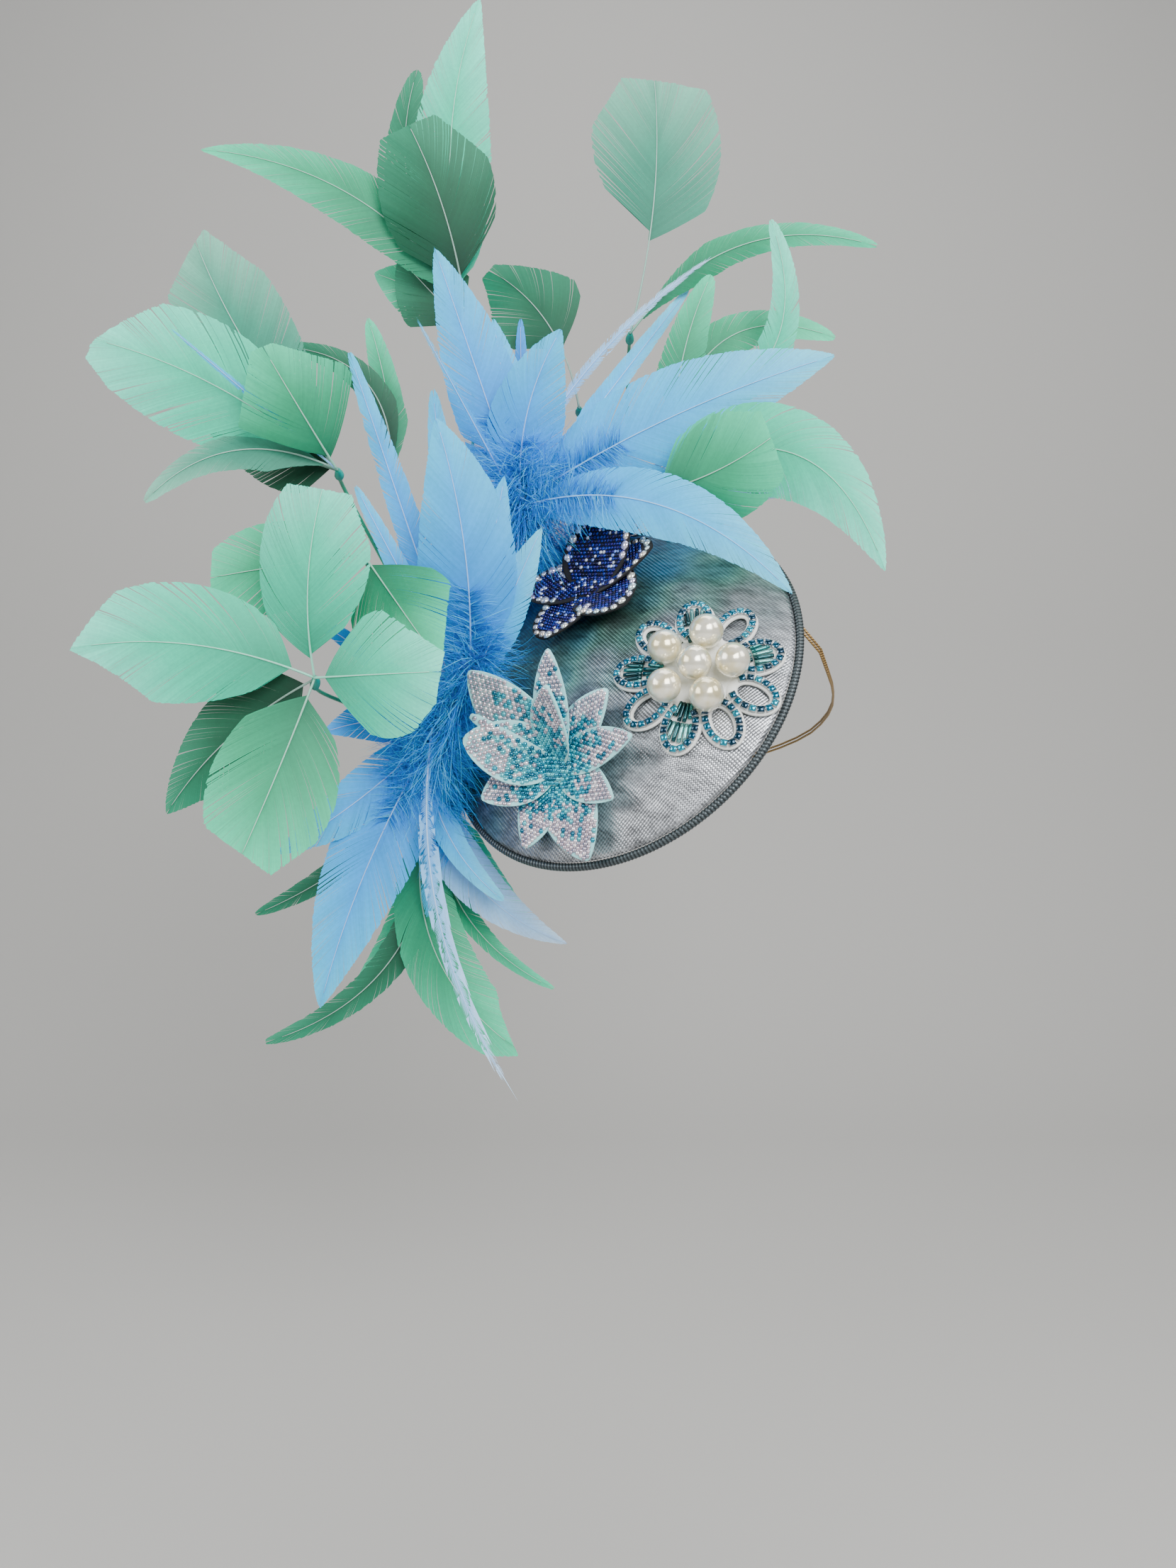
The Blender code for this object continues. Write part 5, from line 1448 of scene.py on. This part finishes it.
def make_lace_ground():
    """Felt lobes, the stone chain round each of them, and bugle beads in every other one."""
    felt, beads, chain = [], [], []
    for lobe in range(LACE_LOBES):
        turn = math.radians(FIRST_LOBE_ANGLE + 360.0 * lobe / LACE_LOBES)
        felt.append(lobe_border(turn))
        chain.append(chain_places(turn))
        if lobe % 2 == 1:
            felt.append(lobe_pad(turn))
            beads += bugle_fan(turn)
    felt.append(boss_shape(LACE_BOSS_RADIUS, LACE_THICKNESS * 0.9, LACE_PLACE))
    white = pressed_felt("pressed_white_felt", "#f1f3ef", 0.15)
    add_piece("pearl_flower_felt", merged(felt), white, ["lace_flower"])
    places, axes = [np.concatenate(column) for column in zip(*chain)]
    sizes = np.full(len(places), CUP_SIZE)
    cup = stone_template(4, table=0.98, crown=0.30, girdle=0.26)
    cups = stamped(cup, places, axes, sizes * CUP_WIDTH)
    add_piece("stone_chain_cups", cups, plated_cup(), smooth=False)
    square = stone_template(4, table=0.6, crown=0.42, girdle=0.30)
    picks = DRAWS.integers(0, 4, len(places))
    lifted, sizes = places + axes[:, 2] * CHAIN_STONE_LIFT, sizes * CHAIN_STONE_WIDTH
    stones = set_stones(square, lifted, axes, sizes, CHAIN_TEALS, picks)
    add_tinted("stone_chain_stones", [stones], GLASS, (), smooth=False)
    dyes = colours(BUGLE_TEALS)[DRAWS.integers(0, 4, len(beads))]
    parts = [(*bead, np.tile(dye, (len(bead[0]), 1))) for bead, dye in zip(beads, dyes)]
    add_tinted("bugle_beads", parts, GLASS, ())


make_lace_ground()


# %% Pearls
def pearl_finish():
    """Imitation pearl: glass dipped in pearl essence, ivory with a soft deep gloss and painted highlights.
    """
    more = {"Coat_Weight": 1.0, "Coat_Roughness": 0.05}
    material = new_material("dipped_imitation_pearl", "#f3edd6", 0.20, 0.5, **more)
    # Painted highlights: ivory mottled with near-white patches
    painted_pearl_highlights = ramped(material, grain_in(material, 160.0, 2.0), [(0.38, "#e8dcb2"), (0.60, "#fffbea")])
    link_to_shader(material, Base_Color=painted_pearl_highlights)
    return material


def make_pearls():
    """Balls of rings, each with the drilled hole's small dent at its top."""
    finish = pearl_finish()
    hang = 2.0 * PEARL_RADIUS + FIT_GAP
    tilt = np.linspace(0.0, np.pi, PEARL_RINGS + 2)[1:-1]
    dip = 1.0 - HOLE_DEPTH * np.exp(-((tilt / HOLE_WIDTH) ** 2))
    ball = round_rings(np.sin(tilt), np.cos(tilt), full_turn(PEARL_STEPS)) * dip[:, None, None]
    for number in range(PEARLS_ROUND + 1):
        angle = math.radians(FIRST_PEARL_ANGLE + 360.0 / PEARLS_ROUND * number)
        reach = 0.0 if number == PEARLS_ROUND else hang
        flat = np.array([[reach * math.cos(angle), reach * math.sin(angle)]])
        centre = on_lace(flat, LACE_THICKNESS + FIT_GAP + PEARL_RADIUS)[0]
        top = unit(centre + AXIS_OUT * SPHERE_RADIUS)
        side = unit(np.cross(UPWARDS, top))
        rings = centre + ball @ np.stack([side, np.cross(top, side), top]) * PEARL_RADIUS
        hole = centre + top * PEARL_RADIUS * (1.0 - HOLE_DEPTH)
        shape = closed_rings(rings, hole, centre - top * PEARL_RADIUS)
        add_piece(f"pearl_{number + 1}_ball", shape, finish, [f"pearl_{number + 1}"])


make_pearls()

# %% [markdown]
# The light is a plain studio: a big soft lamp in front and on each side, one above, and a grey
# curved backdrop that is floor and wall in one.

# %% Backdrop and lamps
FLOOR_DROP = 0.25
FLOOR_FRONT = -2.5
SWEEP_BACK = 1.1
SWEEP_RADIUS = 0.5
WALL_HEIGHT = 3.5
HALF_BREADTH = 3.0
AIR_STRENGTH = 0.27
LAMPS = {
    "front_lamp": ((0.35, -1.1, 0.55), (0.0, 0.0, 0.05), 0.7, 21.0),
    "left_lamp": ((-1.1, -0.6, 0.5), (-0.05, 0.0, 0.05), 0.8, 12.0),
    "top_lamp": ((0.1, 0.2, 1.3), (0.0, 0.05, 0.0), 0.9, 9.0),
    "right_lamp": ((1.1, -0.5, 0.7), (0.0, 0.0, 0.05), 0.6, 7.0),
}


def make_backdrop():
    """A sweep: flat floor, a quarter circle, then a wall, carried straight from side to side."""
    low = cad_low.z - FLOOR_DROP
    line = [(FLOOR_FRONT, low)]
    for a in np.linspace(0.0, math.pi / 2.0, 17):
        back = SWEEP_BACK - SWEEP_RADIUS * (1.0 - math.sin(a))
        line.append((back, low + SWEEP_RADIUS * (1.0 - math.cos(a))))
    line.append((SWEEP_BACK, low + WALL_HEIGHT))
    points = [(side, y, z) for y, z in line for side in (-HALF_BREADTH, HALF_BREADTH)]
    material = new_material("matt_grey_paper", "#bdbcb9", 0.9)
    normal = add_node(material, "Bump", in_Height=grain_in(material, 300.0, 2.0), in_Strength=0.05)
    link_to_shader(material, Normal=normal)
    mesh = bpy.data.meshes.new("backdrop")
    mesh.from_pydata(points, [], grid_quads(len(line), 2)[:, ::-1].tolist())
    mesh.shade_smooth()
    mesh.materials.append(material)
    item = bpy.data.objects.new("backdrop", mesh)
    bpy.context.scene.collection.objects.link(item)


def add_lamp(name, place, aim, size, power):
    """A square soft lamp turned to a point."""
    data = bpy.data.lights.new(name, "AREA")
    data.shape = "SQUARE"
    data.size = size
    data.energy = power
    lamp = bpy.data.objects.new(name, data)
    bpy.context.scene.collection.objects.link(lamp)
    lamp.location = place
    lamp.rotation_mode = "QUATERNION"
    lamp.rotation_quaternion = (Vector(aim) - Vector(place)).to_track_quat("-Z", "Y")


make_backdrop()
world = bpy.data.worlds.new("studio_air")
world.use_nodes = True
air = world.node_tree.nodes["Background"].inputs
air["Color"].default_value = colour("#eef1f4")
air["Strength"].default_value = AIR_STRENGTH
bpy.context.scene.world = world
for name, settings in LAMPS.items():
    add_lamp(name, *settings)
